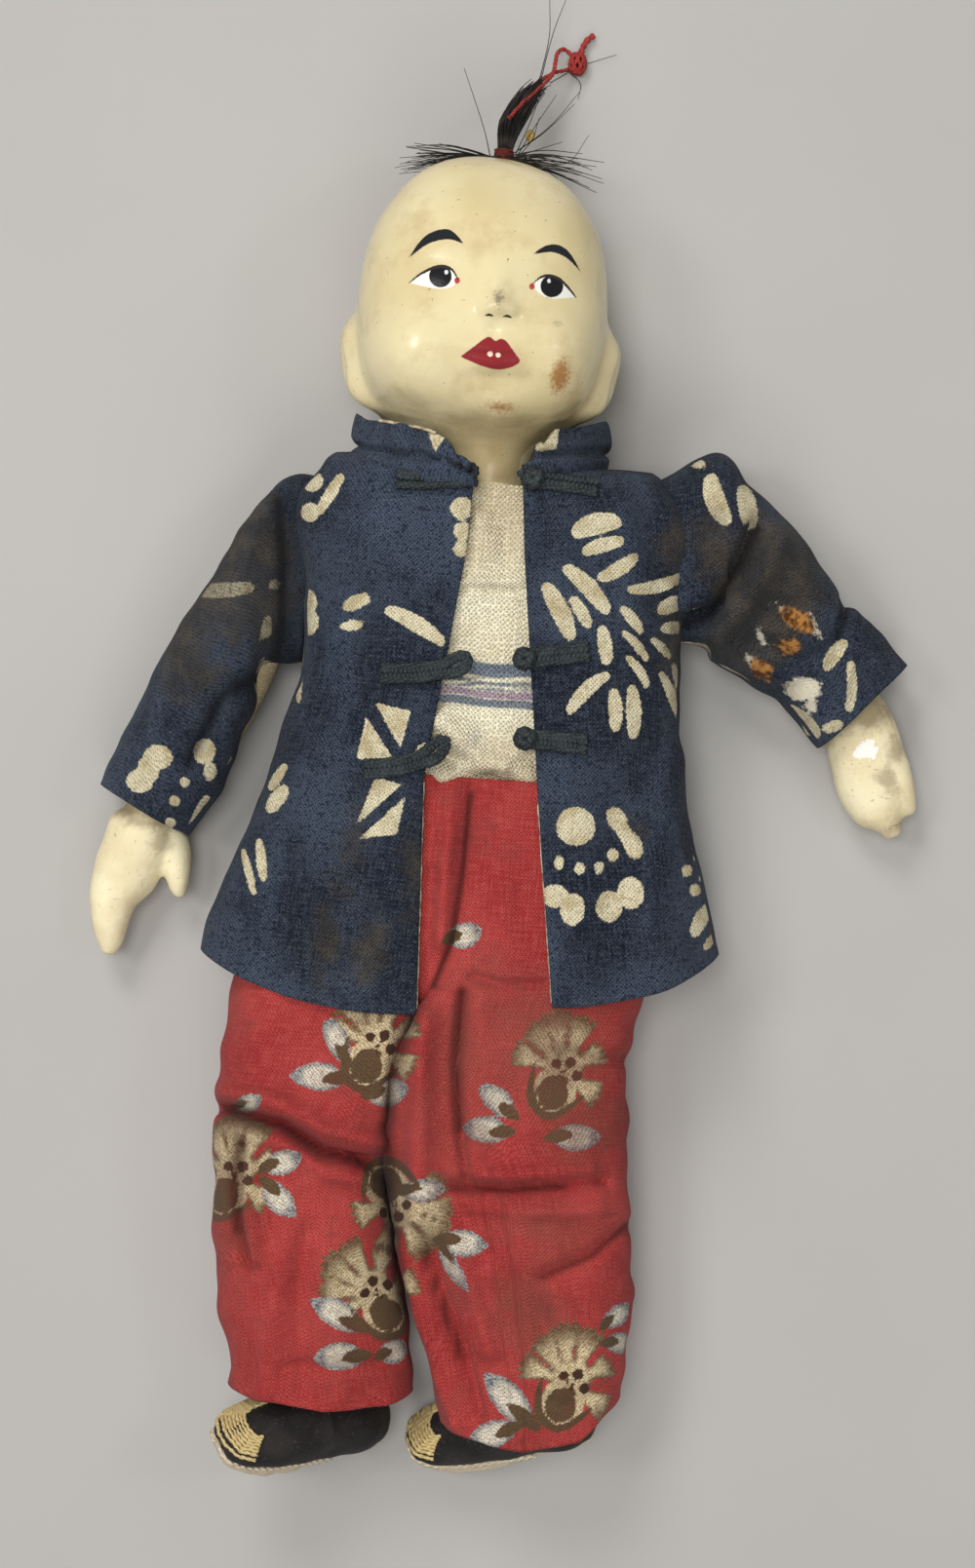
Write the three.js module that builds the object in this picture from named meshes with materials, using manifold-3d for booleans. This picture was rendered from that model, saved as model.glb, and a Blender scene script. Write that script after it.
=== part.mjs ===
// Costume doll: a moulded composition head and hands on a stuffed cloth body, dressed in an
// open jacket, undershirt, printed trousers and cloth shoes. It lies on its back.
// Millimetres. +Z is up, out of the doll's front. +Y runs from its feet to its crown, +X to its left hand.
import * as THREE from "three";
import { mergeVertices } from "three/addons/utils/BufferGeometryUtils.js";
import Module from "manifold-3d";

const wasm = await Module();
wasm.setup();

// Cloth and clearances
const CLOTH = 1.0;
const GAP = 0.3;
const LAYER_GAP = 0.5;
const THINNEST = 0.15;

// Levels along the body, measured from the waist
const CROWN_Y = 131;
const JAW_Y = 73;
const SHOULDER_TOP_Y = 63.5;
const SHOULDER_Y = 47;
const WAIST_Y = 0;
const JACKET_HEM_Y = -49;
const HIP_Y = -70;
const TROUSER_HEM_Y = -133;

// Head
const HEAD_WIDTH = 52;
const HEAD_DEPTH = 53.6;
const HEAD_X = -2;
const HEAD_LIFT = 4;
const HEAD_WALL = 3.5;
const FACE_TURN = THREE.MathUtils.degToRad(5);
const NECK_Z = 23;
const NECK_RADIUS = 8.5;
const FLANGE_RADIUS = 11;
const FLANGE_Y = 50;
const FLANGE_THICKNESS = 3;
const EAR_HEIGHT = 17;
const EAR_DEPTH = 11;
const EAR_REACH = 3;
const CROWN_HOLE_RADIUS = 2.6;

// Body
const BODY_X = 2.5;
const CHEST_HALF_WIDTH = 41;
const CHEST_DEPTH = 40;
const JACKET_HEM_HALF_WIDTH = 55;
const HIP_X = -2.7;
const HIP_HALF_WIDTH = 44.8;
const HIP_DEPTH = 37;
const BACK_FLAT = 0.5;
const LEG_SPLIT_X = -5.2;
const SIDE_SEAM_Z = 17;

// Arms
const SHOULDER_Z = 18;
const SHOULDER_PLUG_RADIUS = 9;
const SLEEVE_DEPTH = 29;
const CUFF_DEPTH = 20;
const ARM_END_RADIUS = 6.8;
const HAND_STUB_RADIUS = 4.6;
const STUB_LENGTH = 6;

// Shoes
const ANKLE_RADIUS = 5.5;
const SHOE_LENGTH = 41;
const SHOE_WIDTH = 15;
const SHOE_HEIGHT = 13;
const SOLE_THICKNESS = 2.2;
const TOE_BRAID_LENGTH = 7;
const BRAID_THICKNESS = 0.8;

// Trimmings
const FROG_CORD = 2.2;
const FROG_KNOT_RADIUS = 3;
const TIE_THREAD = 1.2;
const QUEUE_THREAD = 0.6;
const QUEUE_CORD = 0.9;
const STRAND = 0.45;

const V2 = (x, y) => new THREE.Vector2(x, y);
const V3 = (x, y, z) => new THREE.Vector3(x, y, z);

// Solids: a closed geometry as a manifold, and back
function solid(geometry) {
  const bare = geometry.clone();
  for (const name of Object.keys(bare.attributes)) {
    if (name !== "position") bare.deleteAttribute(name);
  }
  const merged = mergeVertices(bare, 1e-4);
  return new wasm.Manifold(
    new wasm.Mesh({
      numProp: 3,
      vertProperties: merged.attributes.position.array,
      triVerts: new Uint32Array(merged.index.array),
    }),
  );
}

function geometryOf(manifold) {
  const mesh = manifold.getMesh();
  const geometry = new THREE.BufferGeometry();
  geometry.setAttribute("position", new THREE.BufferAttribute(mesh.vertProperties.slice(), 3));
  geometry.setIndex(new THREE.BufferAttribute(mesh.triVerts.slice(), 1));
  return geometry;
}

const join = (...pieces) => geometryOf(pieces.map(solid).reduce((a, b) => a.add(b)));
const cut = (piece, ...tools) => geometryOf(tools.map(solid).reduce((a, b) => a.subtract(b), solid(piece)));
const common = (a, b) => geometryOf(solid(a).intersect(solid(b)));

// A box between two corners
function block(low, high) {
  const size = high.clone().sub(low);
  const centre = low.clone().add(high).multiplyScalar(0.5);
  return new THREE.BoxGeometry(size.x, size.y, size.z).translate(centre.x, centre.y, centre.z);
}

// An ellipsoid with the given half sizes
function ellipsoid(centre, half, around = 16, up = 10) {
  const ball = new THREE.SphereGeometry(1, around, up).scale(half.x, half.y, half.z);
  return ball.translate(centre.x, centre.y, centre.z);
}

// Joins rings of equal count into a closed solid; with inner rings it is an open-ended shell
function loft(outer, inner = null) {
  const count = outer[0].length;
  const rings = inner ? [...outer, ...inner.slice().reverse()] : outer;
  const points = rings.flat();
  const faces = [];
  const rows = rings.length;
  const band = (a, b) => {
    for (let i = 0; i < count; i++) {
      const j = (i + 1) % count;
      faces.push(a * count + i, a * count + j, b * count + j, a * count + i, b * count + j, b * count + i);
    }
  };
  for (let r = 0; r + 1 < rows; r++) band(r, r + 1);
  if (inner) {
    band(rows - 1, 0);
  } else {
    const cap = (row, flip) => {
      const centre = new THREE.Vector3();
      for (const p of rings[row]) centre.addScaledVector(p, 1 / count);
      points.push(centre);
      for (let i = 0; i < count; i++) {
        const j = (i + 1) % count;
        const [a, b] = flip ? [j, i] : [i, j];
        faces.push(points.length - 1, row * count + a, row * count + b);
      }
    };
    cap(0, true);
    cap(rows - 1, false);
  }
  const geometry = new THREE.BufferGeometry().setFromPoints(points);
  geometry.setIndex(faces);
  return solidFacingOut(geometry);
}

// Turns a closed geometry's faces outwards
function solidFacingOut(geometry) {
  if (solid(geometry).volume() > 0) return geometry;
  const index = geometry.index.array;
  for (let i = 0; i < index.length; i += 3) [index[i + 1], index[i + 2]] = [index[i + 2], index[i + 1]];
  return geometry;
}

// A cloth or stuffed form: two edge curves in plan, whose heights are its lowest and highest Z.
// Each ring between them is a rounded oval; square sets how flat its sides are.
function makeForm(left, right, square, folds = () => 0) {
  const edge = (points) => new THREE.CatmullRomCurve3(points.map((p) => V3(...p)));
  return { left: edge(left), right: edge(right), square, folds };
}

function formRing(form, t, inset, sides) {
  const a = form.left.getPoint(t);
  const b = form.right.getPoint(t);
  const centre = a.clone().add(b).multiplyScalar(0.5);
  const across = V3((b.x - a.x) / 2, (b.y - a.y) / 2, 0);
  const half = across.length();
  const rise = (b.z - a.z) / 2;
  across.normalize();
  const power = 2 / form.square;
  const ring = [];
  for (let i = 0; i < sides; i++) {
    const angle = (2 * Math.PI * i) / sides;
    const u = Math.sign(Math.cos(angle)) * Math.abs(Math.cos(angle)) ** power;
    const v = Math.sign(Math.sin(angle)) * Math.abs(Math.sin(angle)) ** power;
    const fold = form.folds(angle, t);
    ring.push(
      centre
        .clone()
        .addScaledVector(across, u * Math.max(THINNEST, half - inset + fold))
        .add(V3(0, 0, v * Math.max(THINNEST, rise - inset + (v > 0 ? fold : 0)))),
    );
  }
  return ring;
}

const formRings = (form, inset, steps, sides, from = 0, to = 1) =>
  Array.from({ length: steps + 1 }, (_, i) => formRing(form, from + ((to - from) * i) / steps, inset, sides));

const stuffed = (form, inset, steps, sides, from, to) => loft(formRings(form, inset, steps, sides, from, to));
const clothTube = (form, steps, sides, from, to) =>
  loft(formRings(form, 0, steps, sides, from, to), formRings(form, CLOTH, steps, sides, from, to));

// Rows of [y, half width, lowest z, highest z] about a centre line
function bodyForm(centreX, rows, square, folds) {
  const left = rows.map(([y, half, low]) => [centreX - half, y, low]);
  const right = rows.map(([y, half, , high]) => [centreX + half, y, high]);
  return makeForm(left, right, square, folds);
}

// Height of a body form's front at a place in plan
function frontHeight(form, x, y) {
  let low = 0;
  let high = 1;
  for (let i = 0; i < 30; i++) {
    const mid = (low + high) / 2;
    if (form.left.getPoint(mid).y > y) low = mid;
    else high = mid;
  }
  const a = form.left.getPoint(low);
  const b = form.right.getPoint(low);
  const share = Math.min(1, Math.abs((2 * x - a.x - b.x) / (b.x - a.x)));
  return (a.z + b.z) / 2 + ((b.z - a.z) / 2) * (1 - share ** form.square) ** (1 / form.square);
}

// A cord along points
function cord(points, diameter, steps, sides) {
  const section = new THREE.Shape(
    Array.from({ length: sides }, (_, i) => {
      const angle = (2 * Math.PI * i) / sides;
      return V2((diameter / 2) * Math.cos(angle), (diameter / 2) * Math.sin(angle));
    }),
  );
  const extrudePath = new THREE.CatmullRomCurve3(points);
  return new THREE.ExtrudeGeometry(section, { steps, extrudePath });
}

// A stuffed finger or palm: rows of [centre, half width, half thickness] along a path in plan
function limb(rows, sides) {
  const path = new THREE.CatmullRomCurve3(rows.map(([c]) => c));
  const rings = rows.map(([centre, half, thick], row) => {
    const along = path.getTangent(row / (rows.length - 1));
    const across = V3(-along.y, along.x, 0).normalize();
    return Array.from({ length: sides }, (_, i) => {
      const angle = (2 * Math.PI * i) / sides;
      return centre
        .clone()
        .addScaledVector(across, half * Math.cos(angle))
        .add(V3(0, 0, thick * Math.sin(angle)));
    });
  });
  return loft(rings);
}

// Materials
const finish = (color, roughness) => new THREE.MeshStandardMaterial({ color, roughness, metalness: 0 });
const composition = finish(0xe3cf96, 0.35);
const muslin = finish(0xd8c8a4, 0.95);
const indigoCloth = finish(0x1c2742, 0.95);
const redCloth = finish(0x9c2126, 0.95);
const blackSatin = finish(0x17171a, 0.7);
const soleCloth = finish(0xdcc9a8, 0.95);
const goldBraid = finish(0xc9a648, 0.5);
const cordCloth = finish(0x33373a, 0.95);
const blackHair = finish(0x17120f, 0.6);
const redThread = finish(0xb3262a, 0.7);

const doll = new THREE.Group();

function add(parent, name, geometry, material) {
  const mesh = new THREE.Mesh(geometry, material);
  mesh.name = name;
  parent.add(mesh);
  return mesh;
}

// Head: revolved about the neck, then lifted forward, with nose, lips and ears joined on
const headGroup = new THREE.Group();
headGroup.position.set(HEAD_X, 0, NECK_Z);
doll.add(headGroup);

const HEAD_SIDES = 24;
const HALF_HEAD = HEAD_WIDTH / 2;
const HEAD_TALL = CROWN_Y - JAW_Y;
const headLevel = (share) => JAW_Y + HEAD_TALL * share;
const lift = (y) => HEAD_LIFT * THREE.MathUtils.smoothstep(y, headLevel(-0.05), headLevel(0.2));

// Radius of the skull and jaw by height, as shares of the half width and of the height
function headProfile(outset) {
  const skull = [
    V2(0, headLevel(1)),
    V2(0.35 * HALF_HEAD, headLevel(0.98)),
    V2(0.66 * HALF_HEAD, headLevel(0.9)),
    V2(0.87 * HALF_HEAD, headLevel(0.78)),
    V2(0.99 * HALF_HEAD, headLevel(0.6)),
    V2(HALF_HEAD, headLevel(0.45)),
    V2(0.97 * HALF_HEAD, headLevel(0.27)),
    V2(0.88 * HALF_HEAD, headLevel(0.12)),
    V2(0.68 * HALF_HEAD, headLevel(0.015)),
    V2(NECK_RADIUS + 2, headLevel(-0.03)),
    V2(NECK_RADIUS, headLevel(-0.08)),
  ];
  const curve = new THREE.SplineCurve(skull).getPoints(17);
  const [crown, ...rest] = curve;
  return [V2(0, crown.y + outset), ...rest.map((p) => V2(p.x + outset, p.y))];
}

function headForm(profile, segments) {
  const form = new THREE.LatheGeometry(profile, segments);
  const place = form.attributes.position;
  const depth = HEAD_DEPTH / HEAD_WIDTH;
  for (let i = 0; i < place.count; i++) {
    const y = place.getY(i);
    const round = THREE.MathUtils.lerp(1, depth, lift(y) / HEAD_LIFT);
    place.setZ(i, place.getZ(i) * round + lift(y));
  }
  return solidFacingOut(mergeVertices(bareGeometry(form), 1e-3));
}

function bareGeometry(geometry) {
  geometry.deleteAttribute("normal");
  geometry.deleteAttribute("uv");
  return geometry;
}

function neckAndFlange() {
  const foot = FLANGE_Y;
  return [V2(NECK_RADIUS, foot + FLANGE_THICKNESS + 1), V2(FLANGE_RADIUS, foot + FLANGE_THICKNESS), V2(FLANGE_RADIUS, foot), V2(0, foot)];
}

function makeHead() {
  const outside = headForm([...headProfile(0), ...neckAndFlange()], HEAD_SIDES);
  const inside = new THREE.CatmullRomCurve3([
    V3(0, headLevel(1) - HEAD_WALL, 0),
    V3(0.7 * HALF_HEAD, headLevel(0.82), 0),
    V3(HALF_HEAD - HEAD_WALL, headLevel(0.45), 0),
    V3(0.75 * HALF_HEAD, headLevel(0.14), 0),
    V3(NECK_RADIUS - HEAD_WALL, headLevel(-0.02), 0),
  ]);
  const bore = NECK_RADIUS - HEAD_WALL;
  const hollow = inside.getPoints(7).map((p) => V2(Math.max(p.x, 0), p.y));
  const below = FLANGE_Y - FLANGE_THICKNESS;
  const cavity = headForm([...hollow, V2(bore, below), V2(0, below)], 14);
  const crownHole = new THREE.CylinderGeometry(CROWN_HOLE_RADIUS, CROWN_HOLE_RADIUS, 4 * HEAD_WALL, 10);
  crownHole.translate(queueRoot.x, CROWN_Y, queueRoot.z);

  const face = lift(CROWN_Y) + HEAD_DEPTH / 2;
  const nose = ellipsoid(V3(0, headLevel(0.395), face - 1.2), V3(2.9, 4.6, 3.4), 8, 6);
  const lips = ellipsoid(V3(0, headLevel(0.212), face - 2.2), V3(6.2, 3.1, 2.6), 10, 6);
  const features = [nose, lips].map((piece) => piece.rotateY(FACE_TURN));
  const ears = [-1, 1].map((side) => {
    const centre = V3(side * (HALF_HEAD + EAR_REACH - 5), headLevel(0.26), lift(CROWN_Y) - 2);
    return ellipsoid(centre, V3(5, EAR_HEIGHT / 2, EAR_DEPTH / 2), 10, 7);
  });
  return cut(join(outside, ...ears, ...features), cavity, crownHole);
}

// Hair: the bound queue at the crown and a side tuft each way, all rooted at the crown
const queueRoot = V3(2.2, CROWN_Y, -1);
const queuePath = [
  V3(queueRoot.x, CROWN_Y - 2, queueRoot.z),
  V3(queueRoot.x + 0.2, CROWN_Y + 3, queueRoot.z - 1),
  V3(queueRoot.x + 1, CROWN_Y + 9, queueRoot.z - 5),
  V3(queueRoot.x + 4.2, CROWN_Y + 16.5, queueRoot.z - 12),
  V3(queueRoot.x + 7, CROWN_Y + 20.5, queueRoot.z - 15.5),
];
const QUEUE_RADII = [1.5, 1.5, 2.6, 2.2, 0.8];
const BINDING_RADIUS = 2.8;

function makeQueue() {
  const locks = 5;
  const sides = 2 * locks;
  const path = new THREE.CatmullRomCurve3(queuePath);
  const radius = new THREE.SplineCurve(QUEUE_RADII.map((r, i) => V2(i, r)));
  const steps = 8;
  const frames = path.computeFrenetFrames(steps);
  const rings = Array.from({ length: steps + 1 }, (_, step) => {
    const t = step / steps;
    const centre = path.getPointAt(t);
    const size = radius.getPoint(path.getUtoTmapping(t)).y;
    return Array.from({ length: sides }, (_, i) => {
      const angle = (2 * Math.PI * i) / sides + 1.2 * t;
      const groove = i % 2 ? 0.82 : 1;
      return centre
        .clone()
        .addScaledVector(frames.normals[step], size * groove * Math.cos(angle))
        .addScaledVector(frames.binormals[step], size * groove * Math.sin(angle));
    });
  });
  return loft(rings);
}

// Thread wound round the queue's foot, as one unbroken helix
function makeQueueBinding() {
  const turns = 3;
  const pitch = QUEUE_THREAD + 0.5;
  const stepsPerTurn = 12;
  const foot = CROWN_Y + QUEUE_THREAD;
  const points = Array.from({ length: turns * stepsPerTurn + 1 }, (_, i) => {
    const turn = i / stepsPerTurn;
    const angle = 2 * Math.PI * turn;
    const y = foot + pitch * turn;
    const lean = -0.36 * (y - CROWN_Y);
    return V3(queueRoot.x + BINDING_RADIUS * Math.cos(angle), y, queueRoot.z + lean + BINDING_RADIUS * Math.sin(angle));
  });
  const apart = points.slice(stepsPerTurn).map((p, i) => p.distanceTo(points[i]));
  console.log("queue binding gap", (Math.min(...apart) - QUEUE_THREAD).toFixed(2));
  return cord(points, QUEUE_THREAD, turns * stepsPerTurn, 4);
}

// A side tuft: strands fanning out from a root on the crown
function makeTuft(side, strands, spread, reach) {
  const root = V3(queueRoot.x + side * 5, CROWN_Y - 0.4, queueRoot.z - 2);
  const clump = ellipsoid(root, V3(2, 0.9, 1.6), 8, 5);
  const hairs = Array.from({ length: strands }, (_, i) => {
    const share = strands > 1 ? i / (strands - 1) - 0.5 : 0;
    const length = reach * (0.78 + 0.22 * Math.cos(5 * i));
    const rise = spread * share + 0.05;
    const start = root.clone().add(V3(side * 0.6, 0.5 * share, 1.2 * share));
    const tip = start.clone().add(V3(side * length * Math.cos(rise), length * Math.sin(rise), -4 - 6 * share));
    const middle = start.clone().lerp(tip, 0.5).add(V3(0, 1.1, 0));
    return cord([start, middle, tip], STRAND, 2, 3);
  });
  const clear = headForm([...headProfile(LAYER_GAP), V2(0, headLevel(-0.08))], HEAD_SIDES);
  return cut(join(clump, ...hairs), clear);
}

const headMesh = add(headGroup, "head", makeHead(), composition);
add(headGroup, "hair_queue", makeQueue(), blackHair);
add(headGroup, "queue_binding", makeQueueBinding(), redThread);
add(headGroup, "side_hair_right", makeTuft(-1, 11, 0.75, 20), blackHair);
add(headGroup, "side_hair_left", makeTuft(1, 7, 0.7, 19), blackHair);

// Red cord on the queue: out along the hair to a knot on the table, and a strand back to the hair
const CORD_REST = QUEUE_CORD / 2;
const knotCentre = V3(14.8, 157.6, 2);
const KNOT_HALF = V3(2, 2.6, 1.9);
const queueCordPoints = [
  V3(0.9, 140.2, 21.9),
  V3(3.6, 144.6, 18),
  V3(6.9, 149.2, 12.6),
  V3(9.4, 153.2, 8.4),
  V3(9.9, 156.2, 6.4),
  V3(10.2, 158.8, 4.6),
  V3(11.4, 160.4, 2.6),
  V3(12.9, 159.8, 1.9),
];
const queueReturnPoints = [
  V3(8.3, 150.2, 6.9),
  V3(9.4, 152, 5.4),
  V3(10.8, 154.2, 3.4),
  V3(12.7, 155.8, 1.6),
];
const knotTailPoints = [V3(15.2, 159, 1.9), V3(15.7, 161.2, 1.2), V3(16.6, 163, 0.9), V3(18, 164.2, 0.8)];

function makeKnot() {
  const ball = ellipsoid(knotCentre, KNOT_HALF, 10, 7);
  return join(ball, cord(knotTailPoints, 1.5, 5, 5));
}

const knotClear = ellipsoid(knotCentre, KNOT_HALF.clone().addScalar(GAP), 10, 7);
add(doll, "queue_cord", cut(cord(queueCordPoints, QUEUE_CORD, 16, 5), knotClear), redThread);
add(doll, "queue_cord_return", cut(cord(queueReturnPoints, QUEUE_CORD, 5, 5), knotClear), redThread);
add(doll, "queue_knot", makeKnot(), redThread);

// Nested forms of the trunk: stuffed torso, undershirt, trouser seat and jacket
const CHEST_TOP = CHEST_DEPTH - 4;
const jacketRows = [
  [SHOULDER_TOP_Y, CHEST_HALF_WIDTH - 5, 8, CHEST_DEPTH - 5],
  [SHOULDER_TOP_Y - 6, CHEST_HALF_WIDTH, 1.5, CHEST_DEPTH - 1.5],
  [SHOULDER_Y - 7, CHEST_HALF_WIDTH, -BACK_FLAT, CHEST_DEPTH],
  [SHOULDER_Y - 29, CHEST_HALF_WIDTH, -BACK_FLAT, CHEST_DEPTH + 1],
  [WAIST_Y, CHEST_HALF_WIDTH + 3, -BACK_FLAT, CHEST_DEPTH + 1],
  [WAIST_Y - 20, JACKET_HEM_HALF_WIDTH - 5, -BACK_FLAT, CHEST_DEPTH + 1],
  [JACKET_HEM_Y + 11, JACKET_HEM_HALF_WIDTH, -BACK_FLAT, CHEST_DEPTH + 0.5],
  [JACKET_HEM_Y - 2, JACKET_HEM_HALF_WIDTH + 1, -BACK_FLAT, CHEST_DEPTH],
];
const skirtFolds = (angle, t) => 0.9 * THREE.MathUtils.smoothstep(t, 0.55, 1) * Math.cos(7 * angle + 0.6);
const JACKET_STEPS = 12;
const JACKET_SIDES = 30;
const jacketForm = bodyForm(BODY_X, jacketRows, 2.6, skirtFolds);

// The trunk's centre line leans from the chest to the hips
function leaningForm(rows, square, folds) {
  const lean = (y) => THREE.MathUtils.mapLinear(THREE.MathUtils.clamp(y, HIP_Y, WAIST_Y), HIP_Y, WAIST_Y, HIP_X, BODY_X);
  const left = rows.map(([y, half, low]) => [lean(y) - half, y, low]);
  const right = rows.map(([y, half, , high]) => [lean(y) + half, y, high]);
  return makeForm(left, right, square, folds);
}

const UNDER_JACKET = CLOTH + LAYER_GAP + BACK_FLAT;
const shirtRows = [
  [SHOULDER_TOP_Y - 5, CHEST_HALF_WIDTH - 9, 7.5, CHEST_TOP - 5],
  [SHOULDER_TOP_Y - 11, CHEST_HALF_WIDTH - 4, UNDER_JACKET + 2, CHEST_TOP],
  [SHOULDER_Y - 29, CHEST_HALF_WIDTH - 5, UNDER_JACKET + 2, CHEST_TOP + 0.5],
  [WAIST_Y, CHEST_HALF_WIDTH - 6, UNDER_JACKET + 2, CHEST_TOP - 1.5],
  [WAIST_Y - 12, CHEST_HALF_WIDTH - 6, UNDER_JACKET + 2, CHEST_TOP - 2],
];
const shirtForm = leaningForm(shirtRows, 2.6, () => 0);

const seatFolds = (angle, t) => 0.8 * t * Math.cos(5 * angle + 0.4);
const seatRows = [
  [WAIST_Y, CHEST_HALF_WIDTH - 4, UNDER_JACKET, CHEST_TOP + 0.5],
  [WAIST_Y - 20, CHEST_HALF_WIDTH - 2, UNDER_JACKET, CHEST_TOP + 1],
  [JACKET_HEM_Y + 6, HIP_HALF_WIDTH - 0.5, UNDER_JACKET, HIP_DEPTH + 0.5],
  [HIP_Y + GAP / 2, HIP_HALF_WIDTH, 0.4, HIP_DEPTH],
];

const seatForm = leaningForm(seatRows, 3.2, seatFolds);

const CORE = CLOTH + 3 * LAYER_GAP;
const TORSO_HALF_WIDTH = CHEST_HALF_WIDTH - 4 - CORE;
const torsoRows = [
  [SHOULDER_TOP_Y - 6, CHEST_HALF_WIDTH - 12, 9.5, CHEST_TOP - 7],
  [SHOULDER_TOP_Y - 12, TORSO_HALF_WIDTH, UNDER_JACKET + 2 + CORE, CHEST_TOP - CORE],
  [SHOULDER_Y - 29, CHEST_HALF_WIDTH - 5 - CORE, UNDER_JACKET + 2 + CORE, CHEST_TOP - CORE],
  [WAIST_Y, CHEST_HALF_WIDTH - 7 - CORE, UNDER_JACKET + 2 + CORE, CHEST_TOP - 2 - CORE],
  [JACKET_HEM_Y + 6, HIP_HALF_WIDTH - 4 - CORE, UNDER_JACKET + 2 + CORE, HIP_DEPTH - 2 - CORE],
  [HIP_Y + GAP / 2, HIP_HALF_WIDTH - 3 - CORE, 3 + CORE, HIP_DEPTH - 2 - CORE],
];
const torsoForm = leaningForm(torsoRows, 2.6, () => 0);

// A round bar along an axis of the body
function barY(radius, y0, y1, sides = 20) {
  const bar = new THREE.CylinderGeometry(radius, radius, y1 - y0, sides);
  return bar.translate(HEAD_X, (y0 + y1) / 2, NECK_Z);
}

function barX(radius, x0, x1, sides = 16) {
  const bar = new THREE.CylinderGeometry(radius, radius, x1 - x0, sides).rotateZ(Math.PI / 2);
  return bar.translate((x0 + x1) / 2, SHOULDER_Y, SHOULDER_Z);
}

const NECK_SOCKET = NECK_RADIUS + LAYER_GAP;
const NECK_STUB_WALL = 1.5;
const NECK_STUB_TOP = headLevel(-0.1);

function makeTorso() {
  const trunk = stuffed(torsoForm, 0, 7, 20);
  const stub = barY(NECK_SOCKET + NECK_STUB_WALL, SHOULDER_TOP_Y - 14, NECK_STUB_TOP);
  const bore = barY(NECK_SOCKET, FLANGE_Y - 1, NECK_STUB_TOP + 1);
  const seat = barY(FLANGE_RADIUS + 2 * LAYER_GAP, FLANGE_Y - LAYER_GAP, FLANGE_Y + FLANGE_THICKNESS + 1 + LAYER_GAP);
  return cut(join(trunk, stub), bore, seat);
}

// Thread tied round the neck of the cloth body, above the head's flange
function makeNeckTie() {
  const radius = NECK_SOCKET + NECK_STUB_WALL + 2 * GAP + TIE_THREAD / 2;
  const ring = new THREE.TorusGeometry(radius, TIE_THREAD / 2, 4, 20).rotateX(Math.PI / 2);
  return ring.translate(HEAD_X, NECK_STUB_TOP - TIE_THREAD, NECK_Z);
}

const FAR = 200;
const neckClear = barY(NECK_SOCKET + NECK_STUB_WALL + TIE_THREAD + 3 * GAP, SHOULDER_TOP_Y - 30, SHOULDER_TOP_Y + 30, 24);
const armholeX = [-1, 1].map((side) => BODY_X + side * CHEST_HALF_WIDTH);
const armholes = barX(SHOULDER_PLUG_RADIUS + LAYER_GAP, -FAR, FAR);

add(doll, "torso", makeTorso(), muslin);
add(doll, "neck_tie", makeNeckTie(), redThread);
add(doll, "undershirt", cut(clothTube(shirtForm, 5, 20), neckClear, armholes), muslin);
add(doll, "trouser_seat", clothTube(seatForm, 6, 24), redCloth);

// Jacket: one tube of cloth, split at the side seams and down the open front, with a curved hem
const frontEdges = {
  right: [V2(-1.1, SHOULDER_TOP_Y + 4), V2(-1.9, SHOULDER_Y), V2(-7.6, WAIST_Y), V2(-5.7, JACKET_HEM_Y - 4)],
  left: [V2(8.2, SHOULDER_TOP_Y + 4), V2(10, SHOULDER_Y), V2(15.8, WAIST_Y), V2(23.2, JACKET_HEM_Y - 4)],
};

// Everything in front of or behind the side seam, inside the hem's curve
function panelSpace(front) {
  const hemRise = 12;
  const reach = JACKET_HEM_HALF_WIDTH + 8;
  const outline = new THREE.Shape();
  outline.moveTo(BODY_X - reach, SHOULDER_TOP_Y + 20);
  outline.lineTo(BODY_X - reach, JACKET_HEM_Y + hemRise + 5);
  outline.quadraticCurveTo(BODY_X - 0.72 * reach, JACKET_HEM_Y, BODY_X - 0.25 * reach, JACKET_HEM_Y);
  outline.lineTo(BODY_X + 0.25 * reach, JACKET_HEM_Y + 3);
  outline.quadraticCurveTo(BODY_X + 0.75 * reach, JACKET_HEM_Y + 5, BODY_X + reach, JACKET_HEM_Y + hemRise + 12);
  outline.lineTo(BODY_X + reach, SHOULDER_TOP_Y + 20);
  const depth = front ? FAR : SIDE_SEAM_Z;
  const space = new THREE.ExtrudeGeometry(outline, { depth, bevelEnabled: false, curveSegments: 5 });
  return front ? space.translate(0, 0, SIDE_SEAM_Z + GAP) : space;
}

// Everything on one side of the front opening
function beside(side) {
  const edge = new THREE.SplineCurve(side < 0 ? frontEdges.right : frontEdges.left).getPoints(5);
  const outline = new THREE.Shape([
    ...edge,
    V2(side * FAR, edge[edge.length - 1].y),
    V2(side * FAR, edge[0].y),
  ]);
  return new THREE.ExtrudeGeometry(outline, { depth: FAR, bevelEnabled: false });
}

const jacketTube = cut(clothTube(jacketForm, JACKET_STEPS, JACKET_SIDES), neckClear, armholes);
const jacketFront = common(jacketTube, panelSpace(true));
add(doll, "jacket_back", common(jacketTube, panelSpace(false)), indigoCloth);
add(doll, "jacket_front_right", common(jacketFront, beside(-1)), indigoCloth);
add(doll, "jacket_front_left", common(jacketFront, beside(1)), indigoCloth);

// Collar: a standing band with a roll and a crease, swept round the neck and open at the front
const COLLAR_FOOT = SHOULDER_TOP_Y + GAP;
const COLLAR_HEIGHT = 12;
const COLLAR_HALF_WIDTH = 26.5;
const COLLAR_DEPTH = [20.5, 17.5];
const COLLAR_OPENING = { from: THREE.MathUtils.degToRad(62), to: THREE.MathUtils.degToRad(87) };

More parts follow.
